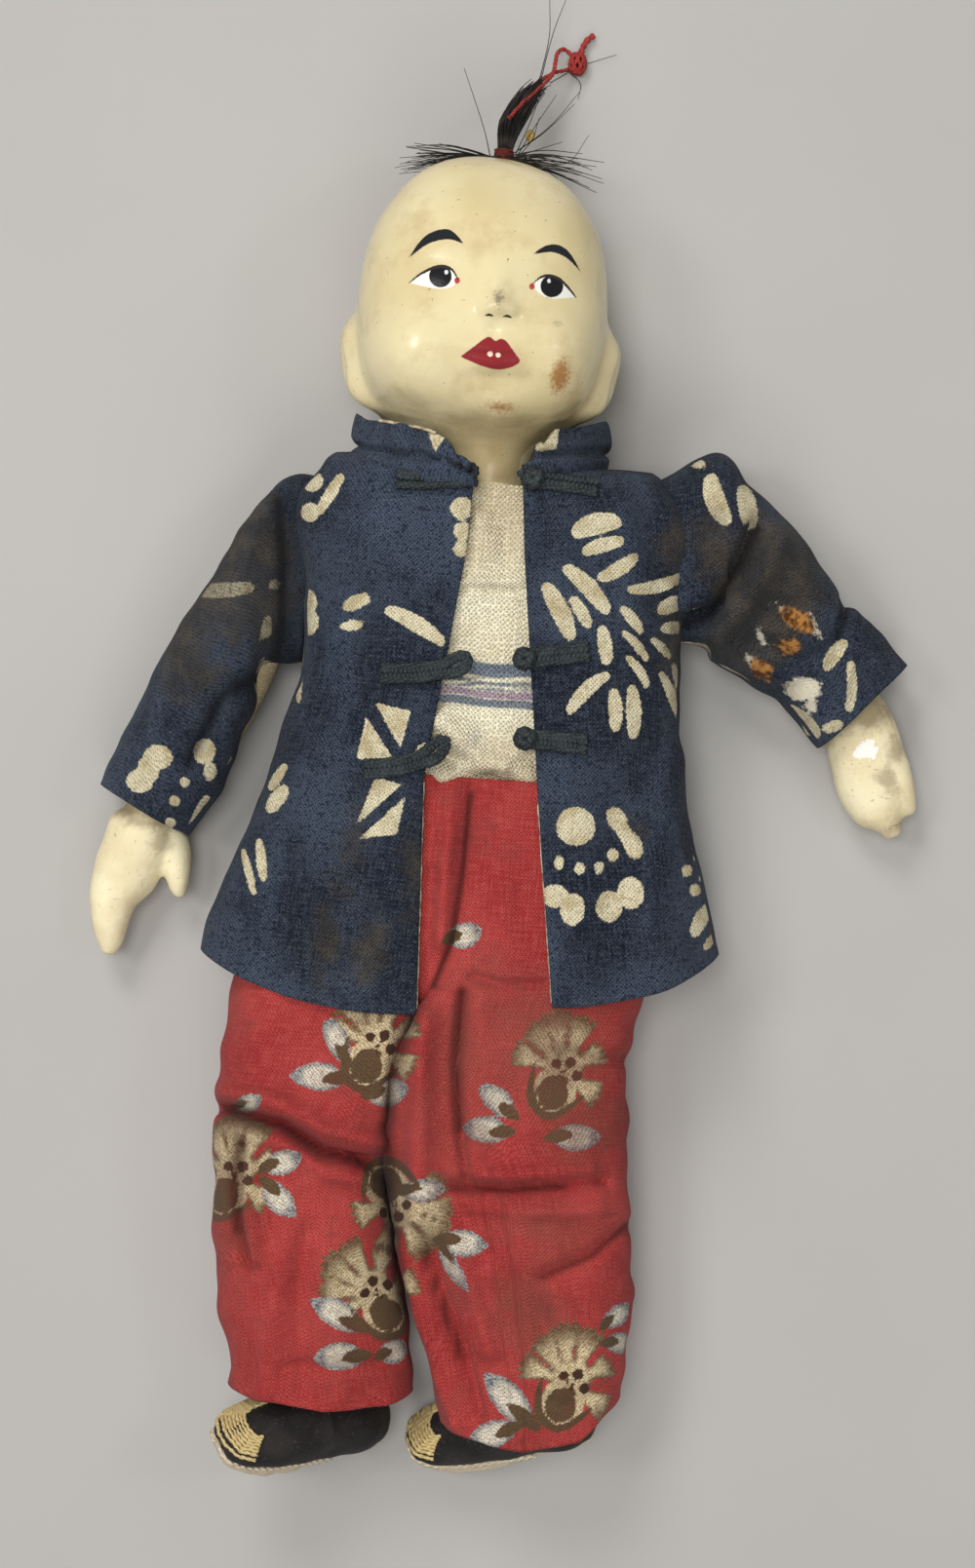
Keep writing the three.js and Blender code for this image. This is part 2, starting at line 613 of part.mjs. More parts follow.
function makeCollar() {
  const steps = 20;
  const turn = 2 * Math.PI - (COLLAR_OPENING.to - COLLAR_OPENING.from);
  const rings = Array.from({ length: steps + 1 }, (_, i) => {
    const angle = COLLAR_OPENING.to + (turn * i) / steps;
    const sine = Math.sin(angle);
    const out = V3(Math.cos(angle), 0, sine).normalize();
    const place = V3(HEAD_X + 1.5 + COLLAR_HALF_WIDTH * Math.cos(angle), COLLAR_FOOT, NECK_Z);
    place.z += (sine < 0 ? COLLAR_DEPTH[0] : COLLAR_DEPTH[1]) * sine;
    const tall = COLLAR_HEIGHT * (1 - 0.32 * Math.max(0, sine));
    const profile = [
      [0, 0],
      [1.1, 0.02],
      [1.7, 0.25],
      [0.9, 0.5],
      [1.4, 0.75],
      [0.9, 1],
      [-0.1, 0.97],
      [-0.2, 0.5],
    ];
    return profile.map(([w, h]) => place.clone().addScaledVector(out, w).add(V3(0, h * tall, 0)));
  });
  return loft(rings);
}
add(doll, "collar", makeCollar(), indigoCloth);

// Frogs: doubled cord closures, a loop on the right front and a knot on the left front
const FROGS = [
  { name: "top", loop: [-17.5, 58.6, -1.5, 59.5], knot: [25, 59, 10.5, 59.5] },
  { name: "middle", loop: [-17.6, 21.4, 0, 25], knot: [25, 29.8, 11.6, 25] },
  { name: "bottom", loop: [-19.8, 1, -2.4, 6.6], knot: [26, 10, 13, 9.6] },
];

function onJacket(x, y) {
  return V3(x, y, frontHeight(jacketForm, x, y) + GAP + 0.35 + FROG_CORD / 2);
}

// Points out along one strand and back along the other, round an eye at the far end
function hairpin([x0, y0, x1, y1], eye) {
  const along = V2(x1 - x0, y1 - y0).normalize();
  const across = V2(-along.y, along.x);
  const apart = FROG_CORD / 2 + GAP;
  const at = (x, y, share, side) => {
    const px = THREE.MathUtils.lerp(x0, x1, share) + across.x * side;
    const py = THREE.MathUtils.lerp(y0, y1, share) + across.y * side;
    return onJacket(px, py);
  };
  const out = [0, 0.25, 0.5, 0.72].map((s) => at(x0, y0, s, -apart));
  const round = [at(0, 0, 0.88, -eye), at(0, 0, 1, 0), at(0, 0, 0.88, eye)];
  const back = [0.72, 0.5, 0.25, 0].map((s) => at(x0, y0, s, apart));
  return [...out, ...round, ...back];
}

for (const frog of FROGS) {
  const loop = cord(hairpin(frog.loop, 1.9), FROG_CORD, 16, 5);
  add(doll, `frog_loop_${frog.name}`, loop, cordCloth);
  const [, , x1, y1] = frog.knot;
  const centre = onJacket(x1, y1).add(V3(0, 0, FROG_KNOT_RADIUS - FROG_CORD / 2));
  const ball = ellipsoid(centre, V3(1, 1, 1).multiplyScalar(FROG_KNOT_RADIUS), 8, 5);
  const stem = cord(hairpin(frog.knot, FROG_CORD / 2 + GAP), FROG_CORD, 10, 5);
  add(doll, `frog_knot_${frog.name}`, join(stem, ball), cordCloth);
}

// Arms: the sleeve's outer and inner edges and the hand, as offsets from the shoulder pivot
const ARMS = [
  {
    name: "right",
    side: -1,
    outer: [[0, 16], [-11, 5], [-27, -25], [-39, -52.8]],
    inner: [[0, -24], [-5.5, -37], [-10.5, -50], [-19, -62.6]],
    palm: [
      [[-26.5, -50], 0],
      [[-28, -59.5], 1.4],
      [[-29, -66], 2],
      [[-32.5, -73], 1.6],
      [[-35, -80], 1.0],
      [[-35.4, -86], 0.75],
      [[-35.2, -89.6], 0.25],
    ],
    thumb: [[-23.5, -63], [-21.2, -69], [-20.2, -74.5], [-20, -76.6]],
    handWidth: 4.8,
  },
  {
    name: "left",
    side: 1,
    outer: [[0, 24], [13, 19.5], [31, 2], [50, -16]],
    inner: [[0, -15], [8, -18.5], [18, -23], [32.6, -34.7]],
    palm: [
      [[36.5, -20], 0],
      [[40.5, -29.5], 1.55],
      [[44, -37], 1.65],
      [[47, -43], 1.5],
      [[49.5, -48.5], 1.05],
      [[50.8, -52], 0.45],
      [[51, -53.6], 0.18],
    ],
    thumb: [[39, -37], [42.5, -44], [46, -48.5], [47.5, -49.8]],
    handWidth: 4.9,
  },
];

const SLEEVE_LOW = SHOULDER_Z - SLEEVE_DEPTH / 2;

function armParts(arm) {
  const pivot = V2(BODY_X + arm.side * (CHEST_HALF_WIDTH + GAP), SHOULDER_Y);
  const place = ([x, y], z = 0) => [pivot.x + x, pivot.y + y, z];
  const last = arm.outer.length - 1;
  const low = (i) => THREE.MathUtils.lerp(SLEEVE_LOW, 0, Math.min(1, (1.6 * i) / last));
  const high = (i) => THREE.MathUtils.lerp(SLEEVE_LOW + SLEEVE_DEPTH, CUFF_DEPTH, i / last);
  const folds = (angle, t) => 0.7 * Math.sin(Math.PI * t) * Math.cos(4 * angle + 5 * t);
  const form = makeForm(
    arm.outer.map((p, i) => place(p, low(i))),
    arm.inner.map((p, i) => place(p, high(i))),
    2.4,
    folds,
  );
  const wrist = V3(...place(arm.palm[0][0], CUFF_DEPTH / 2));
  const knuckle = V3(...place(arm.palm[1][0], CUFF_DEPTH / 2));
  const down = knuckle.clone().sub(wrist).normalize();
  return { form, pivot, place, wrist, down };
}

// A round bar from one point to another
function barBetween(from, to, radius, sides = 12) {
  const bar = new THREE.CylinderGeometry(radius, radius, from.distanceTo(to), sides);
  const turn = new THREE.Quaternion().setFromUnitVectors(V3(0, 1, 0), to.clone().sub(from).normalize());
  bar.applyQuaternion(turn);
  const centre = from.clone().lerp(to, 0.5);
  return bar.translate(centre.x, centre.y, centre.z);
}

const ARM_END = 0.74;

function makeArm(arm) {
  const { form, pivot, wrist, down } = armParts(arm);
  const body = stuffed(form, CLOTH + 2 * LAYER_GAP + 0.7, 5, 12, 0.02, ARM_END);
  const ends = [BODY_X + arm.side * (TORSO_HALF_WIDTH + 2 * LAYER_GAP), pivot.x + arm.side * 3];
  const plug = barX(SHOULDER_PLUG_RADIUS, Math.min(...ends), Math.max(...ends));
  const stubTop = wrist.clone().addScaledVector(down, -STUB_LENGTH / 2);
  const wristEnd = wrist.clone().addScaledVector(down, STUB_LENGTH);
  const inside = form.left.getPoint(ARM_END - 0.1).add(form.right.getPoint(ARM_END - 0.1)).multiplyScalar(0.5);
  const forearm = join(barBetween(inside, wrist, ARM_END_RADIUS), barBetween(stubTop, wristEnd, ARM_END_RADIUS));
  const socket = barBetween(stubTop, wrist.clone().addScaledVector(down, 3 * STUB_LENGTH), HAND_STUB_RADIUS + GAP);
  return cut(join(body, plug, forearm), socket);
}

function makeHand(arm) {
  const { place, wrist, down } = armParts(arm);
  const middle = CUFF_DEPTH / 2 - 1;
  const rows = arm.palm.slice(1).map(([p, width], i) => {
    const thick = arm.handWidth * (1.45 - 0.13 * i) * Math.min(1, width);
    return [V3(...place(p, middle)), arm.handWidth * width, thick];
  });
  const wristEnd = wrist.clone().addScaledVector(down, STUB_LENGTH + GAP);
  const first = [wristEnd.clone().addScaledVector(down, 0.2), arm.handWidth * 1.15, arm.handWidth * 1.15];
  const palm = limb([first, ...rows], 12);
  const stubTop = wrist.clone().addScaledVector(down, -STUB_LENGTH / 2 + GAP);
  const stub = barBetween(stubTop, wristEnd.clone().addScaledVector(down, 2), HAND_STUB_RADIUS);
  const thumbWidths = [3.4, 3, 2.4, 0.9];
  const thumb = limb(arm.thumb.map((p, i) => [V3(...place(p, middle)), thumbWidths[i], thumbWidths[i]]), 8);
  return join(palm, stub, thumb);
}

// Thread that ties the cloth arm to the groove of the hand
function makeWristTie(arm) {
  const { wrist, down } = armParts(arm);
  const ring = new THREE.TorusGeometry(ARM_END_RADIUS + 2 * GAP + TIE_THREAD / 2, TIE_THREAD / 2, 4, 12);
  ring.applyQuaternion(new THREE.Quaternion().setFromUnitVectors(V3(0, 0, 1), down));
  const centre = wrist.clone().addScaledVector(down, STUB_LENGTH / 2);
  return ring.translate(centre.x, centre.y, centre.z);
}

for (const arm of ARMS) {
  add(doll, `sleeve_${arm.name}`, clothTube(armParts(arm).form, 8, 18), indigoCloth);
  add(doll, `arm_${arm.name}`, makeArm(arm), muslin);
  add(doll, `hand_${arm.name}`, makeHand(arm), composition);
  add(doll, `wrist_tie_${arm.name}`, makeWristTie(arm), redThread);
}

// Legs: trouser edges in plan, and where the foot sits and points
const LEGS = [
  {
    name: "right",
    left: [[-47.5, HIP_Y], [-46.8, -94], [-44.5, -114], [-41.5, TROUSER_HEM_Y - 0.5]],
    right: [[LEG_SPLIT_X - GAP, HIP_Y], [-7, -96], [-6.2, -114], [-5.8, TROUSER_HEM_Y + 2]],
    ankle: [-19, -136.4, 17],
    turn: THREE.MathUtils.degToRad(218),
    tilt: THREE.MathUtils.degToRad(3),
    roll: THREE.MathUtils.degToRad(40),
  },
  {
    name: "left",
    left: [[LEG_SPLIT_X + GAP, HIP_Y], [-4.9, -98], [-1.8, -116], [4.4, TROUSER_HEM_Y - 1]],
    right: [[42, HIP_Y], [43.6, -98], [44.4, -114], [43.2, TROUSER_HEM_Y + 3]],
    ankle: [22.8, -134, 13.4],
    turn: THREE.MathUtils.degToRad(180),
    tilt: THREE.MathUtils.degToRad(12),
    roll: THREE.MathUtils.degToRad(40),
  },
];

// A shoe in its own frame: +X to the toe, +Z up from the sole, heel and ankle near the origin
function shoeForm(inset) {
  const heel = -0.36 * SHOE_LENGTH;
  const rows = [
    [0, 0.55, 0.14, 0.85],
    [0.08, 0.86, 0.05, 0.98],
    [0.35, 1.0, 0.0, 1.0],
    [0.62, 1.03, 0.02, 0.9],
    [0.82, 0.95, 0.1, 0.7],
    [0.95, 0.68, 0.22, 0.6],
    [1, 0.3, 0.32, 0.5],
  ];
  const shrink = (along) => heel + inset + along * (SHOE_LENGTH - 2 * inset);
  const edge = (side, level) =>
    rows.map((row) => [shrink(row[0]), (side * row[1] * SHOE_WIDTH) / 2, row[level] * SHOE_HEIGHT]);
  return makeForm(edge(-1, 2), edge(1, 3), 2.3);
}

const shoeSolid = (inset, steps = 8, sides = 12) => stuffed(shoeForm(inset), inset, steps, sides);

function footMatrix(leg) {
  const lower = new THREE.Matrix4().makeTranslation(...leg.ankle);
  const tilt = new THREE.Matrix4().makeRotationZ(leg.tilt);
  const turn = new THREE.Matrix4().makeRotationY(leg.turn);
  const stand = new THREE.Matrix4().makeRotationX(-Math.PI / 2 - leg.roll);
  const drop = new THREE.Matrix4().makeTranslation(0, 0, -0.72 * SHOE_HEIGHT);
  return lower.multiply(tilt).multiply(turn).multiply(stand).multiply(drop);
}

// The sole follows the shoe's underside a little wider than the upper
function soleLoft(grow) {
  const form = shoeForm(0);
  const rings = Array.from({ length: 10 }, (_, i) => {
    const spare = grow ? 0 : 0.02;
    const t = THREE.MathUtils.lerp(spare, 1 - spare, i / 9);
    const a = form.left.getPoint(t);
    const b = form.right.getPoint(t);
    const half = (b.y - a.y) / 2 + 0.4 + grow;
    const top = a.z - GAP + grow;
    const thin = SOLE_THICKNESS + 2 * grow;
    return [V3(a.x, -half, top), V3(a.x, half, top), V3(a.x, 0.86 * half, top - thin), V3(a.x, -0.86 * half, top - thin)];
  });
  return loft(rings);
}

const makeSole = () => cut(soleLoft(0), shoeSolid(-GAP));

function ankleBar(leg, extra) {
  const [x, y, z] = leg.ankle;
  return barBetween(V3(x, y + 22, z + 3), V3(x, y - 1 - extra, z), ANKLE_RADIUS + extra);
}

// The upper is a shell round the foot, open where the ankle comes in
function makeUpper(leg) {
  const into = footMatrix(leg).clone().invert();
  const opening = ankleBar(leg, GAP + 0.2).applyMatrix4(into);
  return cut(shoeSolid(0), shoeSolid(CLOTH), opening);
}

function makeToeBraid() {
  const toe = 0.64 * SHOE_LENGTH;
  const region = block(V3(toe - TOE_BRAID_LENGTH, -FAR, 0.24 * SHOE_HEIGHT), V3(toe + FAR, FAR, FAR));
  const band = cut(shoeSolid(-GAP - BRAID_THICKNESS), shoeSolid(-GAP));
  return cut(common(band, region), soleLoft(LAYER_GAP));
}

function makeLeg(leg, form) {
  const thigh = stuffed(form, CLOTH + LAYER_GAP + 2, 5, 12, 0, 0.55);
  const low = form.left.getPoint(0.5).add(form.right.getPoint(0.5)).multiplyScalar(0.5);
  const [x, y, z] = leg.ankle;
  const shin = barBetween(low, V3(x, y + 12, z + 1.5), ANKLE_RADIUS + 1.5);
  const foot = shoeSolid(CLOTH + LAYER_GAP, 6, 8).applyMatrix4(footMatrix(leg));
  return join(thigh, shin, ankleBar(leg, 0), foot);
}

for (const leg of LEGS) {
  const high = [HIP_DEPTH, HIP_DEPTH - 1, HIP_DEPTH - 4, HIP_DEPTH - 7];
  const folds = (angle, t) => {
    const knee = Math.exp(-(((t - 0.3) / 0.09) ** 2));
    return 1.1 * Math.sin(Math.PI * t) * Math.cos(3 * angle + 4 * t) - 1.4 * knee;
  };
  const form = makeForm(
    leg.left.map(([x, y], i) => [x, i ? y : y - GAP / 2, 0]),
    leg.right.map(([x, y], i) => [x, i ? y : y - GAP / 2, high[i]]),
    3.0,
    folds,
  );
  add(doll, `trouser_leg_${leg.name}`, clothTube(form, 10, 18), redCloth);
  add(doll, `leg_${leg.name}`, makeLeg(leg, form), muslin);
  const shoe = new THREE.Group();
  shoe.applyMatrix4(footMatrix(leg));
  doll.add(shoe);
  add(shoe, `shoe_upper_${leg.name}`, makeUpper(leg), blackSatin);
  add(shoe, `shoe_sole_${leg.name}`, makeSole(), soleCloth);
  add(shoe, `toe_braid_${leg.name}`, makeToeBraid(), goldBraid);
}

export default doll;
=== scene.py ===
"""Looks of a costume doll lying on its back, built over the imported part.

Lengths in the making are millimetres in the part's frame: +X to the doll's left hand,
+Y from feet to crown, +Z up out of its front. Meshes are stored in metres.
"""

import math

import bmesh
import bpy
import numpy as np
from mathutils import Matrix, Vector


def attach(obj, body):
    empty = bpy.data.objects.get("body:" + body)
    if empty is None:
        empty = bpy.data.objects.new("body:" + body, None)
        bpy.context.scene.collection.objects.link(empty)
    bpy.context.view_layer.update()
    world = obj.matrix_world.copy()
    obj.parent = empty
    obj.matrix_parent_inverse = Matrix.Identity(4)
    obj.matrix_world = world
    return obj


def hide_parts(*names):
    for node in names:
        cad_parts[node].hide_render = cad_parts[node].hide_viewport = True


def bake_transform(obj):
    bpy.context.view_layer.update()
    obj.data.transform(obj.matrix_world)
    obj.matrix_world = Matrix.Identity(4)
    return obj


MM = 0.001

# Camera: straight above, turned a little, at the photograph's framing
CAMERA_PLACE = (5.57, -0.56, 620.0)
CAMERA_TURN = math.radians(3.79)
CAMERA_LENS = 65.0
PLAN_HEIGHT = 20.0

# Main sizes, as in the part's source
CROWN_Y = 129.4
JAW_Y = 73.0
HEAD_X = -2.0
HEAD_HALF = 26.0
HEAD_DEPTH = 53.6
HEAD_LIFT = 4.0
NECK_Z = 23.0
NECK_RADIUS = 8.5


# Curves and fields


def shares(count):
    """Even steps from 0 to 1."""
    return np.linspace(0, 1, count)


def smooth(levels, values, at):
    """Cubic curve through values at ascending levels."""
    levels = np.asarray(levels, float)
    values = np.asarray(values, float)
    slope = np.gradient(values, levels)
    i = np.clip(np.searchsorted(levels, at) - 1, 0, len(levels) - 2)
    gap = levels[i + 1] - levels[i]
    s = np.clip((at - levels[i]) / gap, 0, 1)
    rise = values[i] * (1 + 2 * s) * (1 - s) ** 2 + values[i + 1] * s * s * (3 - 2 * s)
    return rise + gap * (slope[i] * s * (1 - s) ** 2 - slope[i + 1] * s * s * (1 - s))


def through(points, t):
    """Smooth path through points, for t from 0 to 1."""
    points = np.asarray(points, float)
    levels = shares(len(points))
    return np.stack([smooth(levels, points[:, k], t) for k in range(points.shape[1])], -1)


def run_along(path):
    """Length along a path, up to each of its points."""
    return np.concatenate([[0], np.cumsum(np.linalg.norm(np.diff(path, axis=0), axis=1))])


def blunted(share, power):
    """A sine or cosine raised to a power with its sign kept, which squares a round section."""
    return np.sign(share) * np.abs(share) ** power


def step(low, high, x):
    """Smooth rise from 0 at low to 1 at high."""
    s = np.clip((x - low) / (high - low), 0, 1)
    return s * s * (3 - 2 * s)


def hump(x, y, centre, size):
    """A round swelling of height 1."""
    return np.exp(-(((x - centre[0]) / size[0]) ** 2) - ((y - centre[1]) / size[1]) ** 2)


def wander(x, y, scale, seed, waves=7):
    """Soft uneven swell between about -1 and 1, with lumps of the given size."""
    rng = np.random.default_rng(seed)
    total = 0
    for _ in range(waves):
        turn = rng.uniform(0, math.tau)
        pace = rng.uniform(0.6, 1.5) * math.pi / scale
        start = rng.uniform(0, math.tau)
        total = total + np.sin(pace * (x * math.cos(turn) + y * math.sin(turn)) + start)
    return total / math.sqrt(waves)


def plan(points):
    """Where points lie when seen from the camera, on the level of PLAN_HEIGHT."""
    shrink = (CAMERA_PLACE[2] - PLAN_HEIGHT) / (CAMERA_PLACE[2] - points[..., 2])
    x = CAMERA_PLACE[0] + (points[..., 0] - CAMERA_PLACE[0]) * shrink
    y = CAMERA_PLACE[1] + (points[..., 1] - CAMERA_PLACE[1]) * shrink
    return x, y


def far_from_line(x, y, a, b, start=0.0, end=0.0):
    """Distance from a straight line between two points, with a half width at its start and end."""
    dx, dy = b[0] - a[0], b[1] - a[1]
    t = np.clip(((x - a[0]) * dx + (y - a[1]) * dy) / (dx * dx + dy * dy), 0, 1)
    return np.hypot(x - a[0] - t * dx, y - a[1] - t * dy) - (start + (end - start) * t)


def crease(x, y, path, width):
    """A fold along a path of points, of height 1 on it."""
    apart = [far_from_line(x, y, a, b) for a, b in zip(path, path[1:])]
    return np.exp(-((np.minimum.reduce(apart) / width) ** 2))


def folded(x, y, folds, narrowing=1.0):
    """Height of folds, each with its path, width and height."""
    return sum(height * crease(x, y, path, narrowing * width) for path, width, height in folds)


def shade_along_folds(x, y, grooves):
    """How much painted shade lies along folds, each with its path and width."""
    return np.minimum(sum((crease(x, y, path, width) for path, width in grooves), np.zeros(x.shape)), 1)


def heading(turn):
    """Cosine and sine of a turn in degrees."""
    return math.cos(math.radians(turn)), math.sin(math.radians(turn))


def turned(x, y, centre, turn):
    """Places along and across a direction, from a centre."""
    c, s = heading(turn)
    return (x - centre[0]) * c + (y - centre[1]) * s, (y - centre[1]) * c - (x - centre[0]) * s


def bent(x, y, centre, turn, length, bend):
    """Places along and across a midline that bend curves."""
    along, across = turned(x, y, centre, turn)
    return along, across - bend * (1 - (2 * along / length) ** 2)


def leaf(x, y, centre, length, width, turn, bend=0.0):
    """Distance to a pointed leaf, below zero inside it."""
    along, across = bent(x, y, centre, turn, length, bend)
    half = width / 2
    radius = (length * length / 4 + half * half) / (2 * half)
    return np.hypot(along, np.abs(across) + radius - half) - radius


def bean(x, y, centre, length, width, turn, bend=0.0):
    """Distance to a curved shape with blunt, rounded ends."""
    along, across = bent(x, y, centre, turn, length, bend)
    half = width / 2
    past = np.maximum(np.abs(along) - length / 2 + 0.5 * half, 0)
    return np.hypot(past, across) - half * (0.95 - 0.45 * np.minimum(2 * np.abs(along) / length, 1) ** 2)


def outline(x, y, corners):
    """Distance to a closed outline, below zero inside it."""
    corners = np.asarray(corners, float)
    far = np.full(np.shape(x), 1e3)
    inside = np.zeros(np.shape(x), bool)
    for (ax, ay), (bx, by) in zip(corners, np.roll(corners, -1, axis=0)):
        far = np.minimum(far, far_from_line(x, y, (ax, ay), (bx, by)))
        rise = by - ay if by != ay else 1e-9
        inside ^= ((ay > y) != (by > y)) & (x < ax + (bx - ax) * (y - ay) / rise)
    return np.where(inside, -far, far)


def brushed(x, y, over, under):
    """Distance to a painted shape between an upper and a lower curve that share their ends."""
    steps = shares(18)
    return outline(x, y, np.concatenate([through(over, steps), through(under, steps)[-2:0:-1]]))


def oval(x, y, centre, half, turn=0.0):
    """About the distance to an oval, below zero inside it."""
    along, across = turned(x, y, centre, turn)
    return (np.hypot(along / half[0], across / half[1]) - 1) * min(half)


def stroke(x, y, path, widths):
    """Distance to a brush stroke along a path, whose half width changes along it."""
    path = through(path, shares(25))
    widths = smooth(shares(len(widths)), widths, shares(25))
    best = np.full(np.shape(x), 1e3)
    for line in zip(path, path[1:], widths, widths[1:]):
        best = np.minimum(best, far_from_line(x, y, *line))
    return best


# Meshes


def finish_mesh(name, mesh, material, smooth_faces=True):
    """Turns a bmesh in millimetres into an object in metres."""
    bmesh.ops.scale(mesh, vec=(MM, MM, MM), verts=mesh.verts)
    data = bpy.data.meshes.new(name)
    mesh.to_mesh(data)
    mesh.free()
    if smooth_faces:
        data.shade_smooth()
    data.materials.append(material)
    piece = bpy.data.objects.new(name, data)
    bpy.context.scene.collection.objects.link(piece)
    return piece


def lattice_normals(points, closed):
    if closed:
        wide = np.concatenate([points[:, -2:-1], points, points[:, 1:2]], axis=1)
        du = np.gradient(wide, axis=1)[:, 1:-1]
    else:
        du = np.gradient(points, axis=1)
    dv = np.gradient(points, axis=0)
    normal = np.cross(du, dv)
    return normal / np.maximum(np.linalg.norm(normal, axis=-1, keepdims=True), 1e-9)


def add_lattice(mesh, points, across, along):
    """Adds a grid to an open bmesh and moves it to rows of points; its UV map takes the two lengths."""
    rows, columns = points.shape[0] - 1, points.shape[1] - 1
    cloth_map = mesh.loops.layers.uv.verify()
    made = bmesh.ops.create_grid(mesh, x_segments=columns, y_segments=rows, size=0.5)["verts"]
    seats = {vert: (round((vert.co.y + 0.5) * rows), round((vert.co.x + 0.5) * columns)) for vert in made}
    for vert, seat in seats.items():
        vert.co = points[seat]
        for loop in vert.link_loops:
            loop[cloth_map].uv = (across[seat], along[seat])
    return seats


def close_tubes(mesh):
    """Joins the seam of each rolled-up grid and closes its ends."""
    bmesh.ops.remove_doubles(mesh, verts=mesh.verts, dist=1e-5)
    bmesh.ops.holes_fill(mesh, edges=[edge for edge in mesh.edges if edge.is_boundary], sides=0)
    bmesh.ops.recalc_face_normals(mesh, faces=mesh.faces)


def formed_sheet(name, across, along, place, material, relief=None, closed=False, fields=None):
    """A grid shaped by place(u, v); relief lifts it off its surface, fields are painted on its points.

    Its UV map holds true lengths in millimetres.
    """
    u, v = np.meshgrid(shares(across + 1), shares(along + 1))
    points = place(u, v)
    middle = points.reshape(-1, 3).mean(0)
    normal = lattice_normals(points, closed)
    outward = np.sum(normal * (points - middle)) > 0
    if relief is not None:
        facing = normal if outward else -normal
        points = points + facing * np.asarray(relief(u, v, points))[..., None]
    width = np.linalg.norm(np.diff(points, axis=1), axis=-1)
    width = np.concatenate([np.zeros((along + 1, 1)), np.cumsum(width, axis=1)], axis=1)
    width = width - width[:, across // 2][:, None]
    length = np.linalg.norm(np.diff(points, axis=0), axis=-1)
    length = np.concatenate([np.zeros((1, across + 1)), np.cumsum(length, axis=0)], axis=0)

    mesh = bmesh.new()
    mesh.loops.layers.uv.new("cloth")
    seats = add_lattice(mesh, points, width, length)
    for key, values in (fields(points, u, v) if fields else {}).items():
        layer = mesh.verts.layers.float.new(key)
        for vert, seat in zip(mesh.verts, seats.values()):
            vert[layer] = float(values[seat])
    bmesh.ops.remove_doubles(mesh, verts=mesh.verts, dist=1e-5)
    if not outward:
        bmesh.ops.reverse_faces(mesh, faces=mesh.faces)
    return finish_mesh(name, mesh, material)


def thicken(piece, thickness):
    """Gives a sheet its wall, inwards from its face."""
    wall = piece.modifiers.new("thickness", "SOLIDIFY")
    wall.thickness = thickness * MM
    wall.offset = -1.0


def declare_cloth(piece):
    """Reads the lengths of a garment's piece from its cloth UV map, and does nothing more with them."""
    lengths = np.zeros(2 * len(piece.data.loops), np.float32)
    piece.data.uv_layers["cloth"].data.foreach_get("uv", lengths)


def frames_along(path):
    """Side and up at each point of a path, without sudden twists."""
    tangent = np.gradient(path, axis=0)
    tangent /= np.linalg.norm(tangent, axis=1, keepdims=True)
    side = np.cross(tangent[0], (0.0, 0.0, 1.0))
    if np.linalg.norm(side) < 1e-3:
        side = np.cross(tangent[0], (1.0, 0.0, 0.0))
    sides = []
    for t in tangent:
        side = side - t * np.dot(side, t)
        side = side / np.linalg.norm(side)
        sides.append(side)
    sides = np.array(sides)
    return sides, np.cross(tangent, sides)


def add_strand(mesh, path, radii, sides, twist=0.0, lobes=0, lobe_depth=0.0):
    """Adds a grid rolled up along a path to an open bmesh; lobes give it the section of plied thread."""
    path = np.asarray(path, float)
    run = run_along(path)
    side, up = frames_along(path)
    angle, run = np.meshgrid(np.linspace(0, math.tau, sides + 1), run)
    spin = (angle + twist * run)[..., None]
    size = np.reshape(radii, (-1, 1)) * (1 + lobe_depth * np.cos(lobes * angle))
    points = path[:, None] + size[..., None] * (np.cos(spin) * side[:, None] + np.sin(spin) * up[:, None])
    add_lattice(mesh, points, angle / (math.tau), run)


# Sections of twisted thread
PLIED = {"twist": 2.2, "lobes": 2, "lobe_depth": 0.2}
FINE_PLIED = {"twist": 2.2, "lobes": 2, "lobe_depth": 0.18}
CORD_PLIED = {"twist": 2.6, "lobes": 2, "lobe_depth": 0.16}
WELT_PLIED = {"twist": 1.9, "lobes": 2, "lobe_depth": 0.3}


def strands(name, paths, radii, material, sides=6, **section):
    """Many thin tubes as one piece."""
    mesh = bmesh.new()
    for path, radius in zip(paths, radii):
        add_strand(mesh, path, radius, sides, **section)
    close_tubes(mesh)
    return finish_mesh(name, mesh, material)


# Shaders

TWO_PLIES = 12.566


